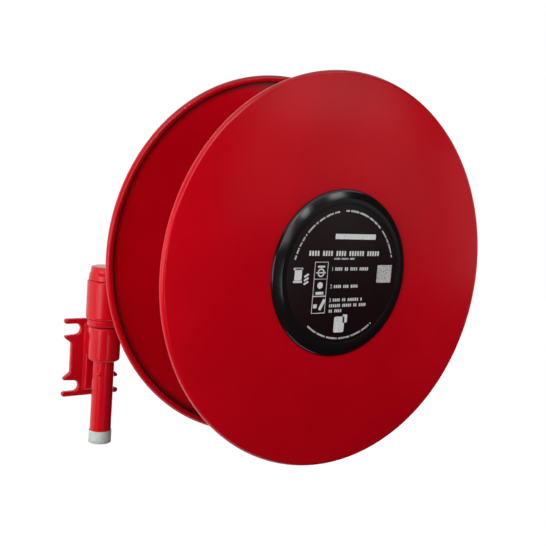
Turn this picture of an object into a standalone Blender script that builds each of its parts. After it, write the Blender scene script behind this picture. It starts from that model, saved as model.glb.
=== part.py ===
"""Swing-type fire hose reel on a slotted wall bracket, as separate pieces.

Metres, +Z up. The origin is the centre of the bracket's wall face: the wall is
the plane y = 0, the reel stands out of it towards -Y, and +X is to the right
for someone who faces the reel.

The water comes up the inlet pipe, through the swivel on top of it, along the
bent arm tube and into the hub spindle, and leaves through the hose tail that
turns with the reel. The arm swings on the inlet pipe, and the reel spins on
the spindle.
"""
import bmesh
import bpy
from math import cos, pi, radians, sin, tan
from mathutils import Matrix, Vector

# ---------------------------------------------------------------- clearances
GAP = 0.0003            # between pieces that touch
SLIP = 0.0005           # radial room of a screw or a clip in its hole
EDGE = 0.001            # an edge that is only broken
THROUGH = 0.010         # how far a drill or a cutter runs past the material

# ------------------------------------------------------------ reel and discs
DISC_R = 0.300          # outer radius of both discs
REEL_DEPTH = 0.189      # between the flat faces of the discs
SHEET = 0.0015          # steel sheet of discs and drum
RIM_R = 0.006           # outer radius of the rolled rim
RIM_ROLL = 255          # degrees that the rim is rolled through
DISH_R = 0.104          # radius of the pressed dish in the middle of a disc
DISH_DEPTH = 0.004
DISH_DRAFT = 0.003      # how far the dish's wall leans over its depth
DISC_ROOM = 0.030       # between the rear disc and the swivel body
REEL_LIFT = 0.1795      # height of the reel's axis over the bracket's centre
REEL_REACH = 0.2656     # from the pivot's axis to the reel's axis

# ------------------------------------------------- hub, spindle and bearings
SPINDLE_R = 0.017
SPINDLE_BORE = 0.010
SPINDLE_THREAD_R = 0.015
SPINDLE_COLLAR = 0.004  # thickness of the collar that carries the reel
SPINDLE_COLLAR_R = 0.026
PORT_R = 0.007          # cross holes that let the water into the hub
DRILL_END = 0.016       # how far the spindle's bore runs past those holes
DRILL_POINT = 0.004
HUB_BORE = 0.022
HUB_R = 0.032
HUB_FILLET = 0.006      # from the barrel to a flange, over its run
HUB_FILLET_RUN = 0.012
HUB_FLANGE_R = 0.060
HUB_FLANGE = 0.006
HUB_SPIGOT_R = 0.0297
SPIGOT_PROUD = 0.0034   # how far the spigot stands through the rear disc
FRONT_PROUD = 0.001     # and through the front disc
HUB_BOSS_R = 0.016
HUB_BOSS_REACH = 0.060
BUSH_LENGTH = 0.020
SEAL_GROOVE = 0.0015    # depth of an O-ring groove
SEAL_R = 0.0026         # radius of an O-ring's section in the hub
SEAL_OFF = 0.001        # from a bush to its O-ring's groove
WASHER = 0.002
WAVE_SHEET = 0.0010     # the sprung drag washer
WAVE_RISE = 0.0008
NUT_POCKET_R = 0.0268   # counterbore for the spindle nut
NUT_POCKET = 0.0112
SPINDLE_NUT_AF = 0.044
SPINDLE_NUT = 0.006

# ------------------------------------------------------------ tie bolts (M8)
BOLTS = 4
BOLT_CIRCLE_R = 0.048
BOLT_R = 0.004
BOLT_HEAD_R = 0.0075
BOLT_HEAD = 0.0035
BOLT_CROWN = 0.45       # share of a head's height below its domed crown
NUT_AF = 0.013
NUT_HEIGHT = 0.0050
BOLT_END = 0.0015       # how far a bolt stands out of its nut
BOLT_POINT = 0.0006     # chamfer on that end

# ----------------------------------------------------------------- hose tail
TAIL_R = 0.010
TAIL_BORE = 0.0075
TAIL_BEND_R = 0.020
TAIL_INSERT = 0.012
TAIL_RISE = 0.0475      # from the boss to the start of the bend
TAIL_REACH = 0.046      # barbed length after the bend
TAIL_ROOM = 0.004       # round the tail in the drum's hole
TAIL_HEX_AF = 0.026
TAIL_HEX = 0.008
BARBS = 3
BARB_R = 0.0127
BARB_FOOT_R = 0.0103
BARB_PITCH = 0.011
BARB_SLOPE = 0.9        # share of the pitch that is sloping

# ----------------------------------------------------------------- hub cover
COVER_R = 0.1275
COVER_FACE_R = 0.1133
COVER_HEIGHT = 0.0085   # from the disc to the cover's flat face
COVER_EDGE = 0.0016     # thickness of its outer edge
COVER_WALL = 0.0024
COVER_FLARE = 0.003     # how far its skirt's inside leans in
COVER_ROUND = 0.0035    # between the slope and the flat face
LABEL_R = 0.105
LABEL = 0.0005
LABEL_SINK = 0.0004     # the label lies this far below the cover's face
CLIPS = 4
CLIP_CIRCLE_R = 0.088
CLIP_WIDTH = 0.012
CLIP_THICK = 0.002
CLIP_HOOK = 0.0015
CLIP_NOSE = 0.003       # height of the hook's lead-in

# -------------------------------------------------------------- wall bracket
PLATE = 0.008
PLATE_HEIGHT = 0.129
EAR_HALF = 0.0487       # from the centre to the tip of an ear
WAIST_HALF = 0.0362
SLOT_PITCH = 0.095
SLOT_WIDTH = 0.017
SLOT_INNER = 0.0215     # from the centre to a slot's round end
EAR_TIP_R = 0.0037
NOSE_R = 0.0021         # an inner ear's pointed tip
NOSE_LIP = 0.0022       # from the slot down to the tip
NOSE_BACK = 0.003       # how far the tip's lower corner stands back
NOSE_HEIGHT = 0.0075
SLOT_EAR_SLOPE = 0.0145 # height of the slope from an inner ear to the waist
WAIST_R = 0.006
PLATE_ROUND = 0.0018    # on the plate's front edges
RIB_HALF = 0.0215
RIB_INSET = 0.0095      # of the rib's ends from the plate's
RIB_HEIGHT = 0.017
RIB_DRAFT = 0.0022
RIB_ROUND = 0.003
PIVOT_OUT = 0.055       # from the wall to the pivot's axis
SOCKET_R = 0.025
SOCKET_LOW = 0.006
SOCKET_TOP = 0.0605
SOCKET_ROUND = 0.004
NECK_HALF = 0.016
NECK_INSET = 0.003      # of the neck's ends from the socket's
NECK_DRAFT = 0.001
NECK_ROUND = 0.0015

# --------------------------------------------------- inlet pipe (1 inch bore)
PIPE_R = 0.01685
PIPE_BORE = 0.0136
PIPE_CHAMFER = 0.0008
PIPE_LOW = 0.1264       # how far the pipe reaches below the centre
PIPE_TOP = 0.1015
PIPE_SCREW_DROP = 0.0144
PIPE_SCREW_TURN = -47   # degrees from straight out, towards -X
PIPE_SCREW_R = 0.002
PIPE_SCREW_HEAD_R = 0.0036
PIPE_SCREW_HEAD = 0.0022
PIPE_SCREW_CROWN = 0.35 # share of the head's height below its domed crown
PROTECTOR_R = 0.018
PROTECTOR_DEPTH = 0.018 # how far the sleeve covers the thread
PROTECTOR_PROUD = 0.0021 # how far it stands past the pipe's end
PROTECTOR_ROUND = 0.0004

# ------------------------------------------------------------- swivel on top
COLLAR_R = 0.0286
COLLAR_HEIGHT = 0.010
SWIVEL_R = 0.0315
SWIVEL_TOP = 0.1345
SWIVEL_FOOT_ROUND = 0.0028
SWIVEL_TOP_ROUND = 0.0022
SWIVEL_BORE = 0.021
CHAMBER_R = 0.0225
CHAMBER_LOW = 0.0955
PIVOT_BUSH_LENGTH = 0.0075
CIRCLIP = 0.0012
CIRCLIP_R = 0.0205
CIRCLIP_GROOVE = 0.0012
CIRCLIP_SLIT = 0.006
CAP_LOW_R = 0.0298
CAP_TOP_R = 0.0268
CAP_HEIGHT = 0.0215
CAP_SHOULDER = 0.0085   # height of its wide lower part
CAP_SLOPE = 0.004       # height of the slope above it
CAP_DRAFT = 0.0008      # how far each of its walls leans in
CAP_SPIGOT = 0.009
CAP_GROOVE = 0.002      # depth of the O-ring's groove
CAP_GROOVE_TOP = 0.003  # from the cap's foot down to that groove
CAP_SEAL_R = 0.0009
BRANCH_R = 0.021
BRANCH_HEIGHT = 0.1075
BRANCH_REACH = 0.048
BRANCH_ROUND = 0.002
UPPER_BUSH = 0.6        # the upper bush's share of the lower one's length

# ------------------------------------------------------------------ arm tube
ARM_INSERT = 0.013
ARM_BEND_R = 0.058
ARM_SLOPE = 45          # degrees
ARM_FIRST = 0.45        # share of the level runs that is before the bends
LOCK_NUT_AF = 0.042
LOCK_NUT = 0.008
ELBOW_R = 0.0205
ELBOW_BEND_R = 0.0225
ELBOW_RIM_R = 0.0238
ELBOW_RIM = 0.011
ELBOW_CHAMFER = 0.0015
ELBOW_REACH = 0.036     # from its corner to the arm tube's end
ELBOW_ROOM = 0.002      # between the elbow and the spindle's collar

# -------------------------------------------------------- facets on a circle
DISC_STEPS = 44
COVER_STEPS = 32
ROUND_STEPS = 20
SMALL_STEPS = 8
TAIL_STEPS = 12
BEND_STEP = 22.5        # degrees of a bend in one facet
ROLL_STEPS = 4          # facets of a rolled rim
SEAL_SIDES = 5          # of an O-ring's section
FINE_R = 0.0015         # a rounding up to this radius is one chamfer

# ------------------------------------------------------------ derived places
REAR_FACE_OUT = PIVOT_OUT + SWIVEL_R + DISC_ROOM    # from the wall
# On the reel's axis, heights run forward from the rear disc's flat face.
HUB_MIDDLE = REEL_DEPTH / 2
REAR_SPIGOT = DISH_DEPTH - SPIGOT_PROUD
FRONT_SPIGOT = REEL_DEPTH - DISH_DEPTH + FRONT_PROUD
POCKET_FLOOR = FRONT_SPIGOT - NUT_POCKET
COLLAR_FRONT = REAR_SPIGOT - 2 * GAP - WASHER
COLLAR_BACK = COLLAR_FRONT - SPINDLE_COLLAR
ELBOW_END = COLLAR_BACK - ELBOW_ROOM
ELBOW_LEG = REAR_FACE_OUT - PIVOT_OUT + ELBOW_END   # from the elbow's corner
CIRCLIP_LOW = CHAMBER_LOW + GAP                     # on top of the upper pivot bush


# ================================================================= materials
def finish(name, colour, roughness, metallic=0.0):
    """A Principled material in plain values."""
    material = bpy.data.materials.new(name)
    material.use_nodes = True
    shader = material.node_tree.nodes["Principled BSDF"]
    shader.inputs["Base Color"].default_value = (*colour, 1.0)
    shader.inputs["Roughness"].default_value = roughness
    shader.inputs["Metallic"].default_value = metallic
    material.diffuse_color = (*colour, 1.0)
    return material


# ============================================================ general shapes
def rounded(corners, steps=4):
    """A closed outline of (u, v, radius) corners, with each corner rounded."""
    outline = []
    count = len(corners)
    for index, (u, v, radius) in enumerate(corners):
        corner = Vector((u, v))
        if not radius:
            outline.append(corner)
            continue
        before = (Vector(corners[index - 1][:2]) - corner).normalized()
        after = (Vector(corners[(index + 1) % count][:2]) - corner).normalized()
        half = before.angle(after) / 2
        centre = corner + (before + after).normalized() * (radius / sin(half))
        start = corner + before * (radius / tan(half)) - centre
        sweep = start.angle_signed(corner + after * (radius / tan(half)) - centre)
        facets = steps if radius > FINE_R else 1
        for step in range(facets + 1):
            outline.append(centre + Matrix.Rotation(-sweep * step / facets, 2) @ start)
    return [(point.x, point.y) for point in outline]


def settle(mesh):
    """Merge what meets, turn every face outwards and return the bmesh."""
    bmesh.ops.remove_doubles(mesh, verts=mesh.verts, dist=0.000002)
    bmesh.ops.dissolve_degenerate(mesh, edges=mesh.edges, dist=0.000001)
    bmesh.ops.recalc_face_normals(mesh, faces=mesh.faces)
    return mesh


def around(count, offset=0.0):
    """The angles of a ring of equal pieces."""
    return [offset + 2 * pi * index / count for index in range(count)]


def turned(profile, steps=ROUND_STEPS):
    """Turn a closed (radius, height) profile about Z."""
    mesh = bmesh.new()
    corners = [mesh.verts.new((radius, 0, height)) for radius, height in profile]
    edges = [mesh.edges.new((a, b)) for a, b in zip(corners, corners[1:] + corners[:1])
             if a.co.x or b.co.x]
    bmesh.ops.spin(mesh, geom=corners + edges, cent=(0, 0, 0), axis=(0, 0, 1),
                   angle=2 * pi, steps=steps, use_merge=True, use_duplicate=False)
    return settle(mesh)


def ring(inner, outer, low, high, steps=ROUND_STEPS, chamfer=0.0):
    """A plain or chamfered ring, such as a washer or a bush."""
    return turned([(inner, low), (outer - chamfer, low), (outer, low + chamfer),
                   (outer, high - chamfer), (outer - chamfer, high), (inner, high)]
                  if chamfer else
                  [(inner, low), (outer, low), (outer, high), (inner, high)], steps)


def o_ring(centre_r, section_r, height):
    """A rubber O-ring."""
    return turned([(centre_r + section_r * cos(angle), height + section_r * sin(angle))
                   for angle in around(SEAL_SIDES)])


def rod(radius, low, high, steps=ROUND_STEPS):
    """A solid round bar along Z, from low to high."""
    mesh = bmesh.new()
    bmesh.ops.create_cone(mesh, cap_ends=True, segments=steps, radius1=radius,
                          radius2=radius, depth=high - low,
                          matrix=Matrix.Translation((0, 0, (low + high) / 2)))
    return mesh


def hex_prism(across_flats, low, high):
    """A solid hexagon bar along Z, from low to high."""
    return rod(across_flats / 2 / cos(pi / 6), low, high, 6)


def hex_nut(name, across_flats, bore, low, height, material, carrier, location=(0, 0, 0),
            rotation=(0, 0, 0), steps=SMALL_STEPS):
    """A hexagon nut, bored for what it is screwed on."""
    nut = piece(name, hex_prism(across_flats, low, low + height), material, carrier,
                location, rotation)
    combine(nut, "DIFFERENCE", name + "_bore", rod(bore, low - height, low + 2 * height, steps),
            location, rotation)


def extruded(outline, depth, chamfer):
    """Stand an outline in the XZ plane, extrude it towards -Y and chamfer its front."""
    mesh = bmesh.new()
    face = mesh.faces.new([mesh.verts.new((x, 0, z)) for x, z in outline])
    pulled = bmesh.ops.extrude_face_region(mesh, geom=[face])["geom"]
    moved = [part for part in pulled if isinstance(part, bmesh.types.BMVert)]
    bmesh.ops.translate(mesh, verts=moved, vec=(0, -depth, 0))
    front_edges = [part for part in pulled if isinstance(part, bmesh.types.BMEdge)]
    bmesh.ops.bevel(mesh, geom=front_edges, offset=chamfer, segments=1, profile=0.5,
                    affect="EDGES", material=-1)
    return settle(mesh)


def annulus(outer, inner, steps):
    """The flat face or ring that a bar or a tube starts from, in the plane x = 0."""
    mesh = bmesh.new()
    stand = Matrix.Rotation(pi / 2, 4, "Y")
    if not inner:
        bmesh.ops.create_circle(mesh, segments=steps, radius=outer, cap_ends=True, matrix=stand)
        return mesh
    edges = set()
    for radius in (outer, inner):
        circle = bmesh.ops.create_circle(mesh, segments=steps, radius=radius, matrix=stand)
        edges |= {edge for vert in circle["verts"] for edge in vert.link_edges}
    bmesh.ops.bridge_loops(mesh, edges=list(edges))
    return mesh


def with_edges(parts):
    """The faces among some parts, with their edges, as an extrusion needs them."""
    faces = [part for part in parts if isinstance(part, bmesh.types.BMFace)]
    return faces + list({edge for face in faces for edge in face.edges})


def tube(outer, inner, start, route, steps):
    """Sweep a tube from start along +X through ("run", length) and
    ("bend", axis, radius, degrees) stretches."""
    mesh = annulus(outer, inner, steps)
    bmesh.ops.translate(mesh, verts=mesh.verts, vec=start)
    heading = Vector((1, 0, 0))
    place = Vector(start)
    head = with_edges(mesh.faces)
    for kind, *size in route:
        if kind == "run":
            pulled = bmesh.ops.extrude_face_region(mesh, geom=head)["geom"]
            moved = [part for part in pulled if isinstance(part, bmesh.types.BMVert)]
            bmesh.ops.translate(mesh, verts=moved, vec=heading * size[0])
            head = with_edges(pulled)
            place += heading * size[0]
            continue
        axis, radius, degrees = Vector(size[0]), size[1], size[2]
        centre = place + axis.cross(heading) * radius
        swept = bmesh.ops.spin(mesh, geom=head, cent=centre, axis=axis,
                               angle=radians(degrees), steps=max(3, round(degrees / BEND_STEP)),
                               use_duplicate=False)["geom_last"]
        head = with_edges(swept)
        turn = Matrix.Rotation(radians(degrees), 3, axis)
        place = centre + turn @ (place - centre)
        heading = turn @ heading
    return settle(mesh)


# ================================================== objects, frames and cuts
def frame(name, location, parent=None, rotation=(0, 0, 0)):
    """An empty that carries the pieces of one axis."""
    empty = bpy.data.objects.new(name, None)
    bpy.context.scene.collection.objects.link(empty)
    empty.location = location
    empty.rotation_euler = rotation
    empty.parent = parent
    return empty


def piece(name, shape, material, carrier, location=(0, 0, 0), rotation=(0, 0, 0)):
    """Turn a bmesh into a named object on its carrier."""
    data = bpy.data.meshes.new(name)
    shape.to_mesh(data)
    shape.free()
    data.shade_smooth()
    data.set_sharp_from_angle(angle=radians(32))
    thing = bpy.data.objects.new(name, data)
    bpy.context.scene.collection.objects.link(thing)
    thing.location = location
    thing.rotation_euler = rotation
    thing.parent = carrier
    if material:
        data.materials.append(material)
    return thing


def combine(target, operation, name, shape, location=(0, 0, 0), rotation=(0, 0, 0)):
    """Join or cut a target with a hidden guide shape on the same carrier."""
    guide = piece("guide_" + name, shape, None, target.parent, location, rotation)
    guide.hide_render = True
    guide.display_type = "WIRE"
    modifier = target.modifiers.new(name, "BOOLEAN")
    modifier.operation = operation
    modifier.object = guide
    modifier.solver = "EXACT"


# ============================================================== wall bracket
def bracket_outline():
    """The plate with two open slots on each side; the slots' inner ears are pointed."""
    top = PLATE_HEIGHT / 2
    slot_high = SLOT_PITCH / 2 + SLOT_WIDTH / 2
    slot_low = SLOT_PITCH / 2 - SLOT_WIDTH / 2
    slot_end = SLOT_WIDTH / 2 - GAP
    upper_right = [
        (EAR_HALF, top, EAR_TIP_R), (EAR_HALF, slot_high, EAR_TIP_R),
        (SLOT_INNER, slot_high, slot_end), (SLOT_INNER, slot_low, slot_end),
        (EAR_HALF, slot_low - NOSE_LIP, NOSE_R),
        (EAR_HALF - NOSE_BACK, slot_low - NOSE_HEIGHT, NOSE_R),
        (WAIST_HALF, slot_low - SLOT_EAR_SLOPE, WAIST_R)]
    lower_right = [(x, -z, radius) for x, z, radius in reversed(upper_right)]
    right = upper_right + lower_right
    left = [(-x, z, radius) for x, z, radius in reversed(right)]
    return rounded(right + left, steps=2)


def drafted_block(half_width, low, high, back, front, draft, round_r):
    """A cast block between two heights whose sides lean in towards its front."""
    mesh = bmesh.new()
    bmesh.ops.create_cube(mesh, size=1)
    for corner in mesh.verts:
        lean = draft if corner.co.y < 0 else 0
        corner.co.x = (2 * half_width) * corner.co.x * (1 - lean / half_width)
        corner.co.z = (high + low) / 2 + corner.co.z * (high - low - 2 * lean)
        corner.co.y = -(back if corner.co.y > 0 else front)
    long_edges = [edge for edge in mesh.edges
                  if all(vert.co.y < -(back + front) / 2 for vert in edge.verts)]
    bmesh.ops.bevel(mesh, geom=long_edges, offset=round_r, segments=2, profile=0.5,
                    affect="EDGES", material=-1)
    return settle(mesh)


def build_bracket(iron, wall):
    """Plate, stiffening rib, neck and socket in one casting, bored for the pipe."""
    bracket = piece("wall_bracket", extruded(bracket_outline(), PLATE, PLATE_ROUND), iron, wall)
    half = PLATE_HEIGHT / 2
    combine(bracket, "UNION", "rib",
            drafted_block(RIB_HALF, RIB_INSET - half, half - RIB_INSET, PLATE / 2,
                          PLATE + RIB_HEIGHT, RIB_DRAFT, RIB_ROUND))
    combine(bracket, "UNION", "neck",
            drafted_block(NECK_HALF, SOCKET_LOW + NECK_INSET, SOCKET_TOP - NECK_INSET,
                          PLATE * 0.75, PIVOT_OUT, NECK_DRAFT, NECK_ROUND))
    body = turned(rounded([(0, SOCKET_LOW, 0), (SOCKET_R, SOCKET_LOW, SOCKET_ROUND),
                           (SOCKET_R, SOCKET_TOP, EDGE), (0, SOCKET_TOP, 0)], steps=2))
    combine(bracket, "UNION", "socket", body, location=(0, -PIVOT_OUT, 0))
    combine(bracket, "DIFFERENCE", "socket_bore",
            rod(PIPE_R + GAP, SOCKET_LOW - THROUGH, SOCKET_TOP + THROUGH),
            location=(0, -PIVOT_OUT, 0))
    return bracket


# ========================================== inlet pipe and what stays with it
def build_inlet(red, steel, acetal, plastic, pivot):
    """The pipe that the wall bracket holds, and the washer the swivel turns on."""
    groove_r = PIPE_R - CIRCLIP_GROOVE
    pipe = piece("inlet_pipe", turned([
        (PIPE_BORE, -PIPE_LOW), (PIPE_R - PIPE_CHAMFER, -PIPE_LOW),
        (PIPE_R, -PIPE_LOW + PIPE_CHAMFER),
        (PIPE_R, CIRCLIP_LOW - GAP), (groove_r, CIRCLIP_LOW - GAP),
        (groove_r, CIRCLIP_LOW + CIRCLIP + GAP), (PIPE_R, CIRCLIP_LOW + CIRCLIP + GAP),
        (PIPE_R, PIPE_TOP), (PIPE_BORE, PIPE_TOP)]), red, pivot)
    aim = (pi / 2, 0, radians(PIPE_SCREW_TURN))
    combine(pipe, "DIFFERENCE", "screw_hole",
            rod(PIPE_SCREW_R + SLIP, PIPE_BORE / 2, PIPE_R + THROUGH, SMALL_STEPS),
            location=(0, 0, -PIPE_SCREW_DROP), rotation=aim)
    seat = PIPE_R + 2 * GAP
    crown_low = PIPE_R + GAP + PIPE_SCREW_HEAD * PIPE_SCREW_CROWN
    crown_rise = PIPE_SCREW_HEAD * (1 - PIPE_SCREW_CROWN)
    crown = [(PIPE_SCREW_HEAD_R * cos(radians(angle)), crown_low + crown_rise * sin(radians(angle)))
             for angle in (0, 30, 60)]
    piece("pipe_screw", turned(
        [(0, PIPE_BORE + GAP), (PIPE_SCREW_R, PIPE_BORE + GAP), (PIPE_SCREW_R, seat),
         (PIPE_SCREW_HEAD_R, seat)] + crown + [(0, crown_low + crown_rise)], SMALL_STEPS),
        steel, pivot, location=(0, 0, -PIPE_SCREW_DROP), rotation=aim)
    piece("thrust_washer", ring(PIPE_R + GAP, SOCKET_R - EDGE, SOCKET_TOP + GAP,
                                SOCKET_TOP + GAP + WASHER), acetal, pivot)
    clip = ring(groove_r + GAP, CIRCLIP_R, CIRCLIP_LOW, CIRCLIP_LOW + CIRCLIP)
    circlip = piece("pipe_circlip", clip, steel, pivot)
    slit = bmesh.new()
    bmesh.ops.create_cube(slit, size=1, matrix=Matrix.Diagonal(
        (2 * CIRCLIP_R, CIRCLIP_SLIT, THROUGH, 1)))
    combine(circlip, "DIFFERENCE", "circlip_gap", slit, location=(CIRCLIP_R, 0, CIRCLIP_LOW))
    piece("thread_protector", ring(
        PIPE_R + GAP, PROTECTOR_R, -PIPE_LOW - PROTECTOR_PROUD, PROTECTOR_DEPTH - PIPE_LOW,
        chamfer=PROTECTOR_ROUND), plastic, pivot)


# ==================================================================== swivel
def build_swivel(red, rubber, acetal, swing):
    """The housing that turns on the inlet pipe, with its cap, collar and bearings."""
    collar_low = SOCKET_TOP + 2 * GAP + WASHER
    collar_top = collar_low + COLLAR_HEIGHT
    piece("swivel_collar", turned(rounded(
        [(PIPE_R + GAP, collar_low, 0), (COLLAR_R, collar_low, EDGE),
         (COLLAR_R, collar_top, EDGE), (PIPE_R + GAP, collar_top, 0)], steps=2)), red, swing)
    low = collar_top + GAP
    body = piece("swivel_body", turned(rounded(
        [(0, low, 0), (SWIVEL_R, low, SWIVEL_FOOT_ROUND), (SWIVEL_R, SWIVEL_TOP, SWIVEL_TOP_ROUND),
         (0, SWIVEL_TOP, 0)], steps=2)), red, swing)
    branch_root = SWIVEL_R / 3
    branch = turned(rounded(
        [(0, branch_root, 0), (BRANCH_R, branch_root, 0), (BRANCH_R, BRANCH_REACH, BRANCH_ROUND),
         (0, BRANCH_REACH, 0)], steps=2))
    sideways = (0, pi / 2, 0)
    root = (0, 0, BRANCH_HEIGHT)
    combine(body, "UNION", "branch", branch, root, sideways)
    combine(body, "DIFFERENCE", "pivot_bore", turned(
        [(0, low - THROUGH), (SWIVEL_BORE, low - THROUGH), (SWIVEL_BORE, CHAMBER_LOW),
         (CHAMBER_R, CHAMBER_LOW), (CHAMBER_R, SWIVEL_TOP + THROUGH), (0, SWIVEL_TOP + THROUGH)]))
    tube_start = BRANCH_REACH - ARM_INSERT
    combine(body, "DIFFERENCE", "branch_bore", turned(
        [(0, EDGE), (PIPE_BORE, EDGE), (PIPE_BORE, tube_start - GAP),
         (PIPE_R + GAP, tube_start - GAP), (PIPE_R + GAP, BRANCH_REACH + THROUGH),
         (0, BRANCH_REACH + THROUGH)]), root, sideways)

    cap_low = SWIVEL_TOP + GAP
    cap_high = cap_low + CAP_HEIGHT
    shoulder = cap_low + CAP_SHOULDER
    spigot_r = CHAMBER_R - GAP
    groove_r = spigot_r - CAP_GROOVE
    groove_top = cap_low - CAP_GROOVE_TOP
    piece("swivel_cap", turned(rounded(
        [(0, cap_low - CAP_SPIGOT, 0), (groove_r, cap_low - CAP_SPIGOT, 0),
         (groove_r, groove_top, 0), (spigot_r, groove_top, 0), (spigot_r, cap_low, 0),
         (CAP_LOW_R, cap_low, EDGE), (CAP_LOW_R - CAP_DRAFT, shoulder, 0.003),
         (CAP_TOP_R, shoulder + CAP_SLOPE, 0.002), (CAP_TOP_R - CAP_DRAFT, cap_high, 0.0025),
         (0, cap_high, 0)], steps=2)), red, swing)
    piece("cap_seal", o_ring(groove_r + GAP + CAP_SEAL_R, CAP_SEAL_R, groove_top - GAP - CAP_SEAL_R),
          rubber, swing)

    bush_in, bush_out = PIPE_R + GAP, SWIVEL_BORE - GAP
    bush_low = low + GAP
    bush_high = bush_low + PIVOT_BUSH_LENGTH
    piece("lower_pivot_bush", ring(bush_in, bush_out, bush_low, bush_high), acetal, swing)
    upper_high = CHAMBER_LOW - GAP
    upper_low = upper_high - PIVOT_BUSH_LENGTH * UPPER_BUSH
    piece("upper_pivot_bush", ring(bush_in, bush_out, upper_low, upper_high), acetal, swing)
    seal_centre = (PIPE_R + SWIVEL_BORE) / 2
    seal_r = (SWIVEL_BORE - PIPE_R) / 2 - GAP
    seal_room = seal_r + GAP
    for index, height in enumerate((bush_high + seal_room, upper_low - seal_room)):
        piece("pivot_seal_%d" % (index + 1), o_ring(seal_centre, seal_r, height), rubber, swing)


# ======================================================= arm tube and elbow
def build_arm(red, steel, swing):
    """The bent tube from the swivel's branch up to the reel's axis, and its elbow."""
    start = Vector((BRANCH_REACH - ARM_INSERT, 0, BRANCH_HEIGHT))
    rise = REEL_LIFT - BRANCH_HEIGHT
    slope = radians(ARM_SLOPE)
    shift = ARM_BEND_R * sin(slope)
    drop = ARM_BEND_R * (1 - cos(slope))
    diagonal = (rise - 2 * drop) / sin(slope)
    spread = 2 * shift + diagonal * cos(slope)
    end = REEL_REACH - ELBOW_REACH + ARM_INSERT
    spare = end - start.x - spread
    first_run = spare * ARM_FIRST
    route = [("run", first_run), ("bend", (0, -1, 0), ARM_BEND_R, ARM_SLOPE),
             ("run", diagonal), ("bend", (0, 1, 0), ARM_BEND_R, ARM_SLOPE),
             ("run", spare - first_run)]
    piece("arm_tube", tube(PIPE_R, PIPE_BORE, start, route, ROUND_STEPS), red, swing)
    hex_nut("arm_lock_nut", LOCK_NUT_AF, PIPE_R + GAP, 0, LOCK_NUT, steel, swing,
            (BRANCH_REACH + GAP, 0, BRANCH_HEIGHT), (0, pi / 2, 0), ROUND_STEPS)

    corner = (REEL_REACH, 0, REEL_LIFT)

    def elbow_bar(radius, shortened):
        inwards, outwards = (leg - ELBOW_BEND_R - shortened for leg in (ELBOW_REACH, ELBOW_LEG))
        return tube(radius, 0, (shortened - ELBOW_REACH, 0, 0),
                    [("run", inwards), ("bend", (0, 0, -1), ELBOW_BEND_R, 90), ("run", outwards)],
                    ROUND_STEPS)

    elbow = piece("hub_elbow", elbow_bar(ELBOW_R, ELBOW_RIM / 3), red, swing, corner)
    rim = ring(0, ELBOW_RIM_R, 0, ELBOW_RIM, chamfer=ELBOW_CHAMFER)
    combine(elbow, "UNION", "elbow_rim_in", rim.copy(),
            (REEL_REACH - ELBOW_REACH, 0, REEL_LIFT), (0, pi / 2, 0))
    combine(elbow, "UNION", "elbow_rim_out", rim,
            (REEL_REACH, -ELBOW_LEG, REEL_LIFT), (-pi / 2, 0, 0))
    combine(elbow, "DIFFERENCE", "elbow_bore", elbow_bar(PIPE_BORE, ARM_INSERT / 2), corner)
    combine(elbow, "DIFFERENCE", "elbow_socket_in",
            rod(PIPE_R + GAP, -THROUGH, ARM_INSERT + GAP),
            (REEL_REACH - ELBOW_REACH, 0, REEL_LIFT), (0, pi / 2, 0))
    combine(elbow, "DIFFERENCE", "elbow_socket_out",
            rod(SPINDLE_R + GAP, -THROUGH, ARM_INSERT + GAP),
            (REEL_REACH, -ELBOW_LEG, REEL_LIFT), (-pi / 2, 0, 0))
    for modifier in elbow.modifiers:
        modifier.solver = "MANIFOLD"


# ========================================================== spindle in the hub
def seal_heights():
    """Heights of the two O-rings, just inside the bushes."""
    seal_centre = BUSH_LENGTH + 2 * GAP + SEAL_R + SEAL_OFF
    return REAR_SPIGOT + seal_centre, POCKET_FLOOR - seal_centre


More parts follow.
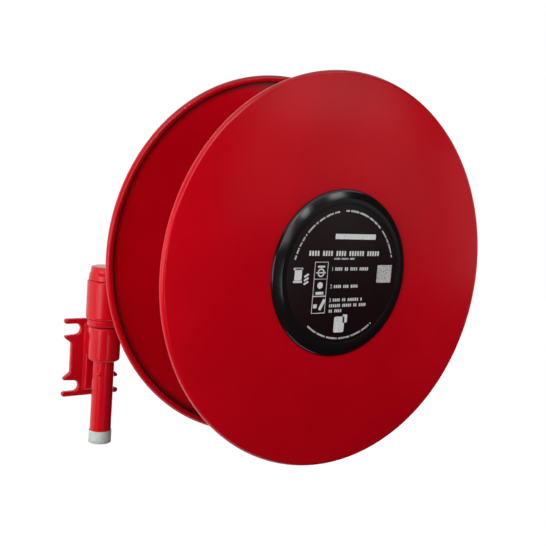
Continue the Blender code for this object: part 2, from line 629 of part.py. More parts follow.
def build_spindle(brass, steel, acetal, rubber, axle):
    """The hollow axle that the arm holds, with its cross ports, washers and nut."""
    groove_r = SPINDLE_R - SEAL_GROOVE
    grooves = []
    for height in seal_heights():
        half = SEAL_R + GAP
        grooves += [(SPINDLE_R, height - half), (groove_r, height - half),
                    (groove_r, height + half), (SPINDLE_R, height + half)]
    washer_low = POCKET_FLOOR + GAP
    tip = FRONT_SPIGOT + EDGE
    drilled = HUB_MIDDLE + DRILL_END
    spindle = piece("hub_spindle", turned(
        [(SPINDLE_BORE, ELBOW_END - ARM_INSERT), (SPINDLE_R, ELBOW_END - ARM_INSERT),
         (SPINDLE_R, COLLAR_BACK), (SPINDLE_COLLAR_R, COLLAR_BACK),
         (SPINDLE_COLLAR_R, COLLAR_FRONT), (SPINDLE_R, COLLAR_FRONT)] + grooves +
        [(SPINDLE_R, washer_low), (SPINDLE_THREAD_R, washer_low),
         (SPINDLE_THREAD_R, tip - EDGE), (SPINDLE_THREAD_R - EDGE, tip), (0, tip),
         (0, drilled + DRILL_POINT), (SPINDLE_BORE, drilled)]), brass, axle)
    for index, turn in enumerate((0, pi / 2)):
        combine(spindle, "DIFFERENCE", "cross_port_%d" % (index + 1),
                rod(PORT_R, -2 * SPINDLE_R, 2 * SPINDLE_R, SMALL_STEPS),
                location=(0, 0, HUB_MIDDLE), rotation=(pi / 2, 0, turn))

    piece("rear_thrust_washer", ring(SPINDLE_R + GAP, SPINDLE_COLLAR_R, COLLAR_FRONT + GAP,
                                     COLLAR_FRONT + GAP + WASHER), acetal, axle)
    bore = SPINDLE_THREAD_R + GAP
    outer = NUT_POCKET_R - SLIP
    piece("spindle_washer", ring(bore, outer, washer_low, washer_low + WASHER), steel, axle)
    wave_low = washer_low + WASHER + GAP
    wave_high = wave_low + WAVE_RISE + WAVE_SHEET
    piece("drag_washer", turned([(bore, wave_low), (outer, wave_low + WAVE_RISE),
                                 (outer, wave_high), (bore, wave_low + WAVE_SHEET)]),
          steel, axle)
    nut_low = wave_high + GAP
    hex_nut("spindle_nut", SPINDLE_NUT_AF, bore, nut_low, SPINDLE_NUT, brass, axle,
            steps=ROUND_STEPS)
    centre = (groove_r + HUB_BORE) / 2
    for side, height in zip(("rear", "front"), seal_heights()):
        section = min(SEAL_R, (HUB_BORE - groove_r) / 2 - GAP)
        piece("%s_hub_seal" % side, o_ring(centre, section, height), rubber, axle)


# ======================================================================= reel
def disc_shape():
    """A disc as (radius, depth) from its flat face: dish, flat sheet, rolled rim."""
    hole = HUB_SPIGOT_R + GAP
    foot = DISH_R - DISH_DRAFT
    back = SHEET / 3        # the sheet's other side turns a little further in
    middle = DISC_R - RIM_R
    turns = [radians(RIM_ROLL * step / ROLL_STEPS - 90) for step in range(ROLL_STEPS + 1)]
    outside = [(middle + RIM_R * cos(turn), RIM_R + RIM_R * sin(turn)) for turn in turns]
    inside = [(middle + (RIM_R - SHEET) * cos(turn), RIM_R + (RIM_R - SHEET) * sin(turn))
              for turn in reversed(turns)]
    return ([(hole, DISH_DEPTH), (foot, DISH_DEPTH), (DISH_R, 0)] + outside + inside +
            [(DISH_R - back, SHEET), (foot - back, DISH_DEPTH + SHEET),
             (hole, DISH_DEPTH + SHEET)])


def build_disc(name, red, reel, faces_front):
    """One pressed disc with its tie bolt holes."""
    sign, start = (-1, REEL_DEPTH) if faces_front else (1, 0)
    shape = turned([(radius, start + sign * depth) for radius, depth in disc_shape()],
                   DISC_STEPS)
    disc = piece(name, shape, red, reel)
    middle = start + sign * DISH_DEPTH
    for index, angle in enumerate(around(BOLTS, pi / 4)):
        combine(disc, "DIFFERENCE", "%s_bolt_hole_%d" % (name, index + 1),
                rod(BOLT_R + SLIP, middle - THROUGH, middle + THROUGH, SMALL_STEPS),
                location=(BOLT_CIRCLE_R * cos(angle), BOLT_CIRCLE_R * sin(angle), 0))
    return disc


def build_drum(red, reel):
    """The rolled drum between the discs, located by their dishes."""
    inner = DISH_R + GAP
    drum = piece("drum", ring(inner, inner + SHEET, SHEET + GAP, REEL_DEPTH - SHEET - GAP,
                              DISC_STEPS),
                 red, reel)
    combine(drum, "DIFFERENCE", "tail_hole",
            rod(TAIL_R + TAIL_ROOM, DISH_R - 3 * THROUGH, DISH_R + THROUGH),
            location=(0, 0, HUB_MIDDLE), rotation=(pi / 2, 0, 0))


def build_hub(alloy, acetal, reel):
    """The cast hub: a barrel between two bolted flanges, with a side outlet."""
    rear_flange = DISH_DEPTH + SHEET + GAP
    front_flange = REEL_DEPTH - rear_flange
    rear_inside, front_inside = rear_flange + HUB_FLANGE, front_flange - HUB_FLANGE
    hub = piece("hub_body", turned(
        [(HUB_BORE, REAR_SPIGOT), (HUB_SPIGOT_R, REAR_SPIGOT), (HUB_SPIGOT_R, rear_flange),
         (HUB_FLANGE_R, rear_flange), (HUB_FLANGE_R, rear_inside),
         (HUB_R + HUB_FILLET, rear_inside), (HUB_R, rear_inside + HUB_FILLET_RUN),
         (HUB_R, front_inside - HUB_FILLET_RUN), (HUB_R + HUB_FILLET, front_inside),
         (HUB_FLANGE_R, front_inside), (HUB_FLANGE_R, front_flange),
         (HUB_SPIGOT_R, front_flange), (HUB_SPIGOT_R, FRONT_SPIGOT), (NUT_POCKET_R, FRONT_SPIGOT),
         (NUT_POCKET_R, POCKET_FLOOR), (HUB_BORE, POCKET_FLOOR)]), alloy, reel)
    downwards = (pi / 2, 0, 0)
    middle = (0, 0, HUB_MIDDLE)
    combine(hub, "UNION", "outlet_boss",
            rod(HUB_BOSS_R, (HUB_BORE + HUB_R) / 2, HUB_BOSS_REACH, TAIL_STEPS), middle, downwards)
    inside = HUB_BORE - HUB_FILLET
    shoulder = HUB_BOSS_REACH - TAIL_INSERT - GAP
    outside = HUB_BOSS_REACH + THROUGH
    combine(hub, "DIFFERENCE", "outlet_bore", turned(
        [(0, inside), (TAIL_BORE, inside), (TAIL_BORE, shoulder), (TAIL_R + GAP, shoulder),
         (TAIL_R + GAP, outside), (0, outside)], TAIL_STEPS), middle, downwards)
    for index, angle in enumerate(around(BOLTS, pi / 4)):
        combine(hub, "DIFFERENCE", "hub_bolt_hole_%d" % (index + 1),
                rod(BOLT_R + SLIP, 0, REEL_DEPTH, SMALL_STEPS),
                location=(BOLT_CIRCLE_R * cos(angle), BOLT_CIRCLE_R * sin(angle), 0))
    inner, outer = SPINDLE_R + GAP, HUB_BORE - GAP
    piece("rear_hub_bush", ring(inner, outer, REAR_SPIGOT + GAP,
                                REAR_SPIGOT + GAP + BUSH_LENGTH), acetal, reel)
    piece("front_hub_bush", ring(inner, outer, POCKET_FLOOR - GAP - BUSH_LENGTH,
                                 POCKET_FLOOR - GAP), acetal, reel)


def build_tie_bolts(steel, reel):
    """Long bolts that clamp disc, hub flanges and disc; their nuts are at the back."""
    front = REEL_DEPTH - DISH_DEPTH + GAP
    crown = front + BOLT_HEAD * BOLT_CROWN
    rear = DISH_DEPTH - GAP
    end = rear - NUT_HEIGHT - BOLT_END
    for index, angle in enumerate(around(BOLTS, pi / 4)):
        place = (BOLT_CIRCLE_R * cos(angle), BOLT_CIRCLE_R * sin(angle), 0)
        piece("tie_bolt_%d" % (index + 1), turned(
            [(0, end), (BOLT_R - BOLT_POINT, end), (BOLT_R, end + BOLT_POINT), (BOLT_R, front),
             (BOLT_HEAD_R, front), (BOLT_HEAD_R, crown), (BOLT_R, front + BOLT_HEAD),
             (0, front + BOLT_HEAD)], SMALL_STEPS), steel, reel, place)
        hex_nut("tie_nut_%d" % (index + 1), NUT_AF, BOLT_R + GAP, rear - NUT_HEIGHT, NUT_HEIGHT,
                steel, reel, place)


def build_hose_tail(brass, reel):
    """The outlet: a stub in the hub's boss, a hexagon, a bend and a barbed end."""
    start = HUB_BOSS_REACH - TAIL_INSERT
    route = [("run", TAIL_INSERT + TAIL_RISE), ("bend", (0, 0, 1), TAIL_BEND_R, 90),
             ("run", TAIL_REACH)]
    tail = piece("hose_tail", tube(TAIL_R, 0, (start, 0, 0), route, TAIL_STEPS), brass, reel,
                 location=(0, 0, HUB_MIDDLE), rotation=(0, 0, -pi / 2))
    down = (pi / 2, 0, 0)
    middle = (0, 0, HUB_MIDDLE)
    hexagon = hex_prism(TAIL_HEX_AF, HUB_BOSS_REACH + GAP, HUB_BOSS_REACH + GAP + TAIL_HEX)
    combine(tail, "UNION", "tail_hexagon", hexagon, middle, down)
    axis_drop = HUB_BOSS_REACH + TAIL_RISE + TAIL_BEND_R
    end = TAIL_BEND_R + TAIL_REACH
    profile = [(0, end - BARBS * BARB_PITCH)]
    for barb in range(BARBS):
        low = end - (BARBS - barb) * BARB_PITCH
        profile += [(BARB_R, low), (BARB_FOOT_R, low + BARB_PITCH * BARB_SLOPE)]
    profile += [(BARB_FOOT_R, end - GAP), (0, end - GAP)]
    combine(tail, "UNION", "tail_barbs", turned(profile, TAIL_STEPS),
            location=(0, -axis_drop, HUB_MIDDLE), rotation=(0, pi / 2, 0))
    bore = tube(TAIL_BORE, 0, (start - EDGE, 0, 0),
                [("run", EDGE + TAIL_INSERT + TAIL_RISE), ("bend", (0, 0, 1), TAIL_BEND_R, 90),
                 ("run", TAIL_REACH + EDGE)], TAIL_STEPS)
    combine(tail, "DIFFERENCE", "tail_bore", bore, middle, (0, 0, -pi / 2))


# ================================================================= hub cover
def build_cover(black, print_white, reel, front_disc):
    """The moulded cover over the dish, clipped through the disc, and its label."""
    foot = REEL_DEPTH + GAP
    face = REEL_DEPTH + COVER_HEIGHT
    floor = face - LABEL - LABEL_SINK - GAP
    inside = floor - COVER_WALL
    cover = piece("hub_cover", turned(rounded(
        [(0, inside, 0), (COVER_FACE_R - COVER_WALL, inside, 0.002),
         (COVER_R - COVER_WALL - COVER_FLARE, foot, 0), (COVER_R, foot, 0),
         (COVER_R, foot + COVER_EDGE, EDGE), (COVER_FACE_R, face, COVER_ROUND),
         (LABEL_R + GAP, face, 0), (LABEL_R + GAP, floor, 0), (0, floor, 0)], steps=2), COVER_STEPS),
        black, reel)
    disc_back = REEL_DEPTH - DISH_DEPTH - SHEET
    hook_high = disc_back - GAP
    hook_low = hook_high - CLIP_NOSE
    root = inside + COVER_WALL / 4
    for index, angle in enumerate(around(CLIPS)):
        leg = bmesh.new()
        profile = [(0, root), (0, hook_low), (CLIP_THICK / 2, hook_low),
                   (CLIP_THICK + CLIP_HOOK, hook_high), (CLIP_THICK, hook_high),
                   (CLIP_THICK, root)]
        face_edge = leg.faces.new([leg.verts.new((out, -CLIP_WIDTH / 2, height))
                                   for out, height in profile])
        pulled = bmesh.ops.extrude_face_region(leg, geom=[face_edge])["geom"]
        bmesh.ops.translate(leg, verts=[part for part in pulled
                                        if isinstance(part, bmesh.types.BMVert)],
                            vec=(0, CLIP_WIDTH, 0))
        place = (CLIP_CIRCLE_R * cos(angle), CLIP_CIRCLE_R * sin(angle), 0)
        combine(cover, "UNION", "clip_%d" % (index + 1), settle(leg), place, (0, 0, angle))
        slot = bmesh.new()
        bmesh.ops.create_cube(slot, size=1, matrix=Matrix.Translation(
            ((CLIP_THICK + CLIP_HOOK) / 2, 0, disc_back)) @ Matrix.Diagonal(
            (CLIP_THICK + CLIP_HOOK + 2 * SLIP, CLIP_WIDTH + 2 * SLIP, THROUGH, 1)))
        combine(front_disc, "DIFFERENCE", "clip_slot_%d" % (index + 1), slot, place, (0, 0, angle))
    piece("cover_label", ring(0, LABEL_R, floor + GAP, floor + GAP + LABEL, COVER_STEPS),
          print_white, reel)


# ==================================================================== the lot
def clear_scene():
    """Start from an empty scene."""
    for thing in list(bpy.data.objects):
        bpy.data.objects.remove(thing, do_unlink=True)


def main():
    clear_scene()
    red = finish("red_powder_coat", (0.45, 0.006, 0.012), 0.38)
    casting = finish("red_cast_iron", (0.50, 0.008, 0.016), 0.42)
    steel = finish("zinc_steel", (0.62, 0.62, 0.60), 0.35, 1.0)
    brass = finish("brass", (0.72, 0.52, 0.22), 0.30, 1.0)
    alloy = finish("cast_alloy", (0.60, 0.60, 0.60), 0.50, 1.0)
    acetal = finish("acetal", (0.05, 0.05, 0.05), 0.45)
    rubber = finish("rubber", (0.02, 0.02, 0.02), 0.80)
    black = finish("black_gloss_plastic", (0.012, 0.010, 0.011), 0.12)
    label = finish("printed_label", (0.020, 0.014, 0.016), 0.25)
    white = finish("off_white_plastic", (0.62, 0.66, 0.62), 0.50)

    wall = frame("wall_frame", (0, 0, 0))
    pivot = frame("pivot_frame", (0, -PIVOT_OUT, 0))
    swing = frame("arm_swing_axis", (0, -PIVOT_OUT, 0))
    forward = (pi / 2, 0, 0)
    hub_place = (REEL_REACH, PIVOT_OUT - REAR_FACE_OUT, REEL_LIFT)
    axle = frame("hub_axis", hub_place, swing, forward)
    reel = frame("reel_spin_axis", hub_place, swing, forward)

    build_bracket(casting, wall)
    build_inlet(red, steel, acetal, white, pivot)
    build_swivel(casting, rubber, acetal, swing)
    build_arm(red, steel, swing)
    build_spindle(brass, steel, acetal, rubber, axle)
    front_disc = build_disc("front_disc", red, reel, True)
    build_disc("rear_disc", red, reel, False)
    build_drum(red, reel)
    build_hub(alloy, acetal, reel)
    build_tie_bolts(steel, reel)
    build_hose_tail(brass, reel)
    build_cover(black, label, reel, front_disc)


main()
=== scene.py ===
"""Looks of the swing-type fire hose reel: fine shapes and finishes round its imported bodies.

Metres, +Z up. The wall is the plane y = 0 and the reel faces -Y. Each piece is
modelled in a frame of its own, such as the pivot's or the reel's axis, and
then moved into place in its mesh.
"""
from math import cos, pi, radians, sin, tan

import bmesh
import bpy
from mathutils import Matrix, Vector


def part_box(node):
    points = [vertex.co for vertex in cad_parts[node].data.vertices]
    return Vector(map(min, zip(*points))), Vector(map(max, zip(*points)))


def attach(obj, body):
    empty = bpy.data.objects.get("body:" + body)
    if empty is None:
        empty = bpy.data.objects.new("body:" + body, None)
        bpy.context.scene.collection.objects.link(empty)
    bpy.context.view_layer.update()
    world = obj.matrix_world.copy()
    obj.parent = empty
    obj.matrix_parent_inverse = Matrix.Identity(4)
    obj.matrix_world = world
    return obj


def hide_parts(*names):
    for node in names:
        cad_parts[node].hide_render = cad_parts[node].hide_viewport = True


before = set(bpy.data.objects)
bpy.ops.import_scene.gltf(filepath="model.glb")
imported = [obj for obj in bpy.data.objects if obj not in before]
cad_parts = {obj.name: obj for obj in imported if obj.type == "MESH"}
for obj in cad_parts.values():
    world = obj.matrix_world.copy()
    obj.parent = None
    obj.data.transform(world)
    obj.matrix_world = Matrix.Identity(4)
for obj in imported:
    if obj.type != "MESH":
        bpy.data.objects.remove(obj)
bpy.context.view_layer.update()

# ------------------------------------------------- places that the frame gives
FRONT_LOW, FRONT_HIGH = (Vector(corner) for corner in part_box("front_disc"))
REAR_HIGH = Vector(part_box("rear_disc")[1])
PIPE_CAD_LOW, PIPE_CAD_HIGH = (Vector(corner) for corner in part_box("inlet_pipe"))
DISC_R = (FRONT_HIGH.x - FRONT_LOW.x) / 2
HUB_X = (FRONT_HIGH.x + FRONT_LOW.x) / 2
HUB_Z = (FRONT_HIGH.z + FRONT_LOW.z) / 2
REEL_DEPTH = REAR_HIGH.y - FRONT_LOW.y
PIVOT_X = (PIPE_CAD_LOW.x + PIPE_CAD_HIGH.x) / 2
PIVOT_Y = (PIPE_CAD_LOW.y + PIPE_CAD_HIGH.y) / 2

# Turns that lay what was turned about Z along another axis.
TO_X = Matrix.Rotation(pi / 2, 4, "Y")
TO_MINUS_Y = Matrix.Rotation(pi / 2, 4, "X")
# In the reel's frame x is right, y is up and z runs forward from the rear disc.
REEL = Matrix.Translation((HUB_X, REAR_HIGH.y, HUB_Z)) @ TO_MINUS_Y
OUTLET = Matrix.Translation((0, 0, REEL_DEPTH / 2)) @ TO_MINUS_Y    # down, inside the reel
PIVOT = Matrix.Translation((PIVOT_X, PIVOT_Y, 0))

# ---------------------------------------------------------------- common sizes
GAP = 0.0003            # between pieces that touch
SHEET = 0.0015          # thickness of the discs and the drum
RIM_R = 0.0055          # outer radius of the discs' rolled rim
RIM_ROLL = 262          # degrees that the rim is rolled through
DISH_R = 0.104          # the discs are dished inside this radius
DISH_DEPTH = 0.004
DISH_DRAFT = 0.003
PIPE_R = 0.01685
PIPE_BORE = 0.0136
SPINDLE_R = 0.017
FINE = 192              # facets round the discs and the cover
ROUND = 96              # facets round pipes and castings
SMALL = 48              # facets round bolts, nuts and the hose tail


# ============================================================ general shapes
def rounded(corners, steps=6):
    """A closed outline of (u, v, radius) corners, with each corner rounded."""
    outline = []
    for index, (u, v, radius) in enumerate(corners):
        corner = Vector((u, v))
        if not radius:
            outline.append(corner)
            continue
        before = (Vector(corners[index - 1][:2]) - corner).normalized()
        after = (Vector(corners[(index + 1) % len(corners)][:2]) - corner).normalized()
        half = before.angle(after) / 2
        centre = corner + (before + after).normalized() * (radius / sin(half))
        start = corner + before * (radius / tan(half)) - centre
        sweep = start.angle_signed(corner + after * (radius / tan(half)) - centre)
        for step in range(steps + 1):
            outline.append(centre + Matrix.Rotation(-sweep * step / steps, 2) @ start)
    return [(point.x, point.y) for point in outline]


def settle(mesh):
    """Merge what meets and turn every face outwards."""
    bmesh.ops.remove_doubles(mesh, verts=mesh.verts, dist=0.000002)
    bmesh.ops.dissolve_degenerate(mesh, edges=mesh.edges, dist=0.000001)
    bmesh.ops.recalc_face_normals(mesh, faces=mesh.faces)
    return mesh


def turned(profile, steps=ROUND):
    """Turn a closed (radius, height) profile about Z."""
    mesh = bmesh.new()
    corners = [mesh.verts.new((radius, 0, height)) for radius, height in profile]
    edges = [mesh.edges.new((a, b)) for a, b in zip(corners, corners[1:] + corners[:1])
             if a.co.x or b.co.x]
    bmesh.ops.spin(mesh, geom=corners + edges, cent=(0, 0, 0), axis=(0, 0, 1),
                   angle=2 * pi, steps=steps, use_merge=True, use_duplicate=False)
    return settle(mesh)


def ring(inner, outer, low, high, steps=ROUND):
    """A washer or a bush with broken edges."""
    edge = 0.0003
    return turned(rounded([(inner, low, edge), (outer, low, edge), (outer, high, edge),
                           (inner, high, edge)], 2), steps)


def rod(radius, low, high, steps=ROUND):
    """A solid round bar along Z."""
    mesh = bmesh.new()
    bmesh.ops.create_cone(mesh, cap_ends=True, segments=steps, radius1=radius, radius2=radius,
                          depth=high - low, matrix=Matrix.Translation((0, 0, (low + high) / 2)))
    return mesh


def raised(outline, low, high):
    """Lay an outline in the XY plane at height low and extrude it to high."""
    mesh = bmesh.new()
    face = mesh.faces.new([mesh.verts.new((x, y, low)) for x, y in outline])
    pulled = bmesh.ops.extrude_face_region(mesh, geom=[face])["geom"]
    tops = [part for part in pulled if isinstance(part, bmesh.types.BMVert)]
    bmesh.ops.translate(mesh, verts=tops, vec=(0, 0, high - low))
    return settle(mesh)


def tube(outer, inner, start, route, steps=ROUND, bend_steps=24):
    """Sweep a tube from start along +X through ("run", length) and
    ("bend", axis, radius, degrees) stretches."""
    mesh = bmesh.new()
    upright = Matrix.Translation(start) @ TO_X
    if inner:
        edges = set()
        for radius in (outer, inner):
            circle = bmesh.ops.create_circle(mesh, segments=steps, radius=radius, matrix=upright)
            edges |= {edge for vert in circle["verts"] for edge in vert.link_edges}
        bmesh.ops.bridge_loops(mesh, edges=list(edges))
    else:
        bmesh.ops.create_circle(mesh, segments=steps, radius=outer, cap_ends=True,
                                matrix=upright)
    heading, place = Vector((1, 0, 0)), Vector(start)
    head = with_edges(mesh.faces)
    for kind, *size in route:
        if kind == "run":
            pulled = bmesh.ops.extrude_face_region(mesh, geom=head)["geom"]
            tips = [part for part in pulled if isinstance(part, bmesh.types.BMVert)]
            bmesh.ops.translate(mesh, verts=tips, vec=heading * size[0])
            head = with_edges(pulled)
            place += heading * size[0]
            continue
        axis, radius, degrees = Vector(size[0]), size[1], size[2]
        centre = place + axis.cross(heading) * radius
        swept = bmesh.ops.spin(mesh, geom=head, cent=centre, axis=axis, angle=radians(degrees),
                               steps=bend_steps, use_duplicate=False)["geom_last"]
        head = with_edges(swept)
        turn = Matrix.Rotation(radians(degrees), 3, axis)
        place = centre + turn @ (place - centre)
        heading = turn @ heading
    return settle(mesh)


def with_edges(parts):
    """The faces among some parts, with their edges."""
    faces = [part for part in parts if isinstance(part, bmesh.types.BMFace)]
    return faces + list({edge for face in faces for edge in face.edges})


def around(count, offset=0.0):
    """The angles of a ring of equal pieces."""
    return [offset + 2 * pi * index / count for index in range(count)]


def moved(mesh, place):
    """A mesh, moved in its own coordinates."""
    bmesh.ops.transform(mesh, matrix=place, verts=mesh.verts)
    return mesh


def joined(*meshes):
    """Several shells as one mesh."""
    whole = bmesh.new()
    for mesh in meshes:
        data = bpy.data.meshes.new("shell")
        mesh.to_mesh(data)
        mesh.free()
        whole.from_mesh(data)
        bpy.data.meshes.remove(data)
    return whole


def placed(name, data):
    """An object in the scene, from its data."""
    thing = bpy.data.objects.new(name, data)
    bpy.context.scene.collection.objects.link(thing)
    return thing


def built(name, mesh):
    """An object in the scene, from a mesh that is ready."""
    data = bpy.data.meshes.new(name)
    mesh.to_mesh(data)
    mesh.free()
    return placed(name, data)


def finished(thing, *helpers):
    """The mesh that an object's modifiers leave, and the helpers are removed."""
    bpy.context.view_layer.update()
    result = bmesh.new()
    result.from_object(thing, bpy.context.evaluated_depsgraph_get())
    for helper in (thing, *helpers):
        bpy.data.objects.remove(helper, do_unlink=True)
    return result


def cut(mesh, *cutters, operation="DIFFERENCE"):
    """A mesh with some shapes cut from it or joined to it."""
    thing = built("blank", mesh)
    helpers = []
    for shape in cutters:
        helper = built("cutter", shape)
        modifier = thing.modifiers.new("cut", "BOOLEAN")
        modifier.operation = operation
        modifier.object = helper
        modifier.solver = "EXACT"
        helpers.append(helper)
    return finished(thing, *helpers)


def cast(mesh, grain, soften):
    """Overlapping shells as one casting, with its inner corners filleted."""
    thing = built("casting", mesh)
    skin = thing.modifiers.new("skin", "REMESH")
    skin.mode = "VOXEL"
    skin.voxel_size = grain
    smooth = thing.modifiers.new("smooth", "SMOOTH")
    smooth.factor = 0.5
    smooth.iterations = soften
    return finished(thing)


def piece(name, mesh, finish, body, *nodes, sharp=32):
    """Put a finished mesh on its body in place of its CAD nodes. Edges sharper than
    so many degrees stay sharp."""
    thing = built(name, mesh)
    thing.data.shade_smooth()
    thing.data.set_sharp_from_angle(angle=radians(sharp))
    thing.data.materials.append(finish)
    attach(thing, body)
    if nodes:
        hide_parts(*nodes)


# ================================================================== finishes
class Socket:
    """An output of a shader node, on which Python's operators work."""

    def __init__(self, tree, output):
        self.tree = tree
        self.output = output

    def maths(self, operation, *values, clamp=False):
        return self.tree.node("ShaderNodeMath", {"operation": operation, "use_clamp": clamp},
                              dict(enumerate(values)))

    def __add__(self, other):
        return self.maths("ADD", self, other)

    def __sub__(self, other):
        return self.maths("SUBTRACT", self, other)

    def __rsub__(self, other):
        return self.maths("SUBTRACT", other, self)

    def __mul__(self, other):
        return self.maths("MULTIPLY", self, other)

    def __truediv__(self, other):
        return self.maths("DIVIDE", self, other)

    def __pow__(self, other):
        return self.maths("POWER", self, other)

    __radd__ = __add__
    __rmul__ = __mul__

    def clamped(self):
        return self.maths("ADD", self, 0.0, clamp=True)

    def between(self, low, high):
        """0 below low and 1 above high, with a smooth step from one to the other."""
        return self.tree.node("ShaderNodeMapRange", {"interpolation_type": "SMOOTHSTEP"},
                              {"Value": self, "From Min": low, "From Max": high})


class Tree:
    """A node tree that is written as expressions."""

    def __init__(self, tree):
        self.tree = tree

    def node(self, kind, settings=None, values=None, output=0):
        made = self.tree.nodes.new(kind)
        for setting, value in (settings or {}).items():
            setattr(made, setting, value)
        for name, value in (values or {}).items():
            if isinstance(value, Socket):
                self.tree.links.new(value.output, made.inputs[name])
            else:
                made.inputs[name].default_value = value
        return Socket(self, made.outputs[output])


class Finish(Tree):
    """A material with one Principled shader."""

    def __init__(self, name):
        self.material = bpy.data.materials.new(name)
        self.material.use_nodes = True
        super().__init__(self.material.node_tree)
        self.shader = self.tree.nodes["Principled BSDF"]
        self.place = self.node("ShaderNodeTexCoord", output="Object")

    def noise(self, scale, detail=2.0, stretch=(1, 1, 1)):
        """Noise with so many lumps to a metre, from 0 to 1."""
        where = self.node("ShaderNodeMapping", None, {"Vector": self.place, "Scale": stretch})
        return self.node("ShaderNodeTexNoise", None,
                         {"Vector": where, "Scale": scale, "Detail": detail}, "Fac")

    def mix(self, factor, first, second):
        """One colour turning into another."""
        return self.node("ShaderNodeMix", {"data_type": "RGBA"},
                         {0: factor, 6: (*first, 1) if isinstance(first, tuple) else first,
                          7: (*second, 1) if isinstance(second, tuple) else second}, 2)

    def bump(self, height, depth):
        """A relief of so many metres."""
        return self.node("ShaderNodeBump", None, {"Height": height, "Distance": depth})

    def along(self, axis):
        """A coordinate of the place, 0 for x, 1 for y and 2 for z."""
        return self.node("ShaderNodeSeparateXYZ", None, {0: self.place}, axis)

    def set(self, **values):
        """Set or link the shader's own sockets."""
        for name, value in values.items():
            socket = self.shader.inputs[name.replace("_", " ")]
            if isinstance(value, Socket):
                self.tree.links.new(value.output, socket)
            else:
                socket.default_value = (*value, 1) if isinstance(value, tuple) else value
        return self.material


SHEET_REDS = (0.44, 0.0004, 0.0060), (0.40, 0.0002, 0.0050)
CAST_REDS = (0.47, 0.0010, 0.0080), (0.43, 0.0006, 0.0065)
PIPE_REDS = (0.48, 0.0010, 0.0080), (0.44, 0.0006, 0.0065)
# Painted shade: the dark red laid into the crease beside the rear disc's rolled rim.
PAINTED_SHADE_RED = (0.045, 0.0040, 0.0045)


def crease_painted_shade(finish):
    """Painted shade: a darker ring in the crease beside a disc's rolled rim, where the roll shades
    the sheet.
    """
    across, up = finish.along(0) - HUB_X, finish.along(2) - HUB_Z
    radius = (across * across + up * up) ** 0.5
    crease = DISC_R - 2 * RIM_R
    beyond = radius.between(crease + 0.001, crease + 0.002)
    return radius.between(crease - 0.012, crease) * (1 - beyond)


def powder_coat(name, light, deep, peel, roughness, grain, gloss, painted_crease_shade=False):
    """Gloss powder coat: orange peel and the ground's grain, both in millimetres."""
    finish = Finish(name)
    cloud = finish.noise(9, 3)
    lumps = finish.noise(620, 2)
    ground = finish.noise(150, 4)
    height = lumps * peel + ground * grain
    colour = finish.mix(cloud.between(0.3, 0.7), light, deep)
    # Painted shade in the crease beside the rolled rim, mixed into the paint's colour.
    if painted_crease_shade:
        colour = finish.mix(crease_painted_shade(finish) * 0.9, colour, PAINTED_SHADE_RED)
    return finish.set(
        Base_Color=colour,
        Roughness=roughness + (finish.noise(38, 3) - 0.5) * 0.10,
        Normal=finish.bump(height, 0.001),
        Specular_IOR_Level=gloss)


def bare_metal(name, colour, dull, roughness, lines):
    """Machined or plated metal with turning marks and a faint bloom."""
    finish = Finish(name)
    bloom = finish.noise(60, 4)
    marks = finish.noise(lines, 2, (1, 1, 0.05))
    return finish.set(
        Base_Color=finish.mix(bloom.between(0.35, 0.75), colour, dull),
        Roughness=roughness + (marks - 0.5) * 0.18,
        Normal=finish.bump(marks, 0.00004),
        Metallic=1.0)


def plain_plastic(name, colour, deep, roughness, grain):
    """Moulded plastic or rubber with a fine grain."""
    finish = Finish(name)
    return finish.set(
        Base_Color=finish.mix(finish.noise(40, 3).between(0.3, 0.7), colour, deep),
        Roughness=roughness + (finish.noise(90, 2) - 0.5) * 0.10,
        Normal=finish.bump(finish.noise(700, 2), grain),
        Specular_IOR_Level=0.3)


def cover_gloss():
    """Black gloss moulding with faint swirls from wiping."""
    finish = Finish("black_gloss")
    swirl = finish.noise(25, 4, (1, 1, 3))
    return finish.set(
        Base_Color=finish.mix(swirl, (0.0045, 0.0040, 0.0042), (0.0070, 0.0055, 0.0058)),
        Roughness=0.13 + swirl * 0.08,
        Normal=finish.bump(finish.noise(30, 2), 0.00012),
        Specular_IOR_Level=0.5)


def label_film():
    """Satin black print on film, slightly brown."""
    finish = Finish("label_film")
    cloud = finish.noise(30, 3)
    return finish.set(
        Base_Color=finish.mix(cloud, (0.0078, 0.0026, 0.0034), (0.0100, 0.0036, 0.0044)),
        Roughness=0.34 + cloud * 0.08,
        Normal=finish.bump(finish.noise(400, 2), 0.00001),
        Specular_IOR_Level=0.3)


def protector_plastic():
    """Off-white thread protector with scuffs, darker and browner towards its lower edge."""
    finish = Finish("protector_plastic")
    scuff = finish.noise(260, 4, (1, 1, 2.2)).between(0.45, 0.75)
    length = 0.0192
    height = (finish.along(2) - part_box("thread_protector")[0][2]) / length
    foot = 1 - height.between(0.0, 0.45)
    scuffs_and_darker_foot = (scuff * 0.55 + foot * 0.35).clamped()
    return finish.set(
        Base_Color=finish.mix(scuffs_and_darker_foot, (0.47, 0.52, 0.48), (0.24, 0.215, 0.175)),
        Roughness=0.42 + scuff * 0.15,
        Normal=finish.bump(finish.noise(180, 3), 0.0004),
        Subsurface_Weight=0.05,
        Specular_IOR_Level=0.3)


def printed_ink(name, light, worn):
    """Screen-printed ink, a little uneven."""
    finish = Finish(name)
    return finish.set(
        Base_Color=finish.mix(finish.noise(500, 3).between(0.35, 0.8), light, worn),
        Roughness=0.45 + (finish.noise(300, 2) - 0.5) * 0.1,
        Specular_IOR_Level=0.1)


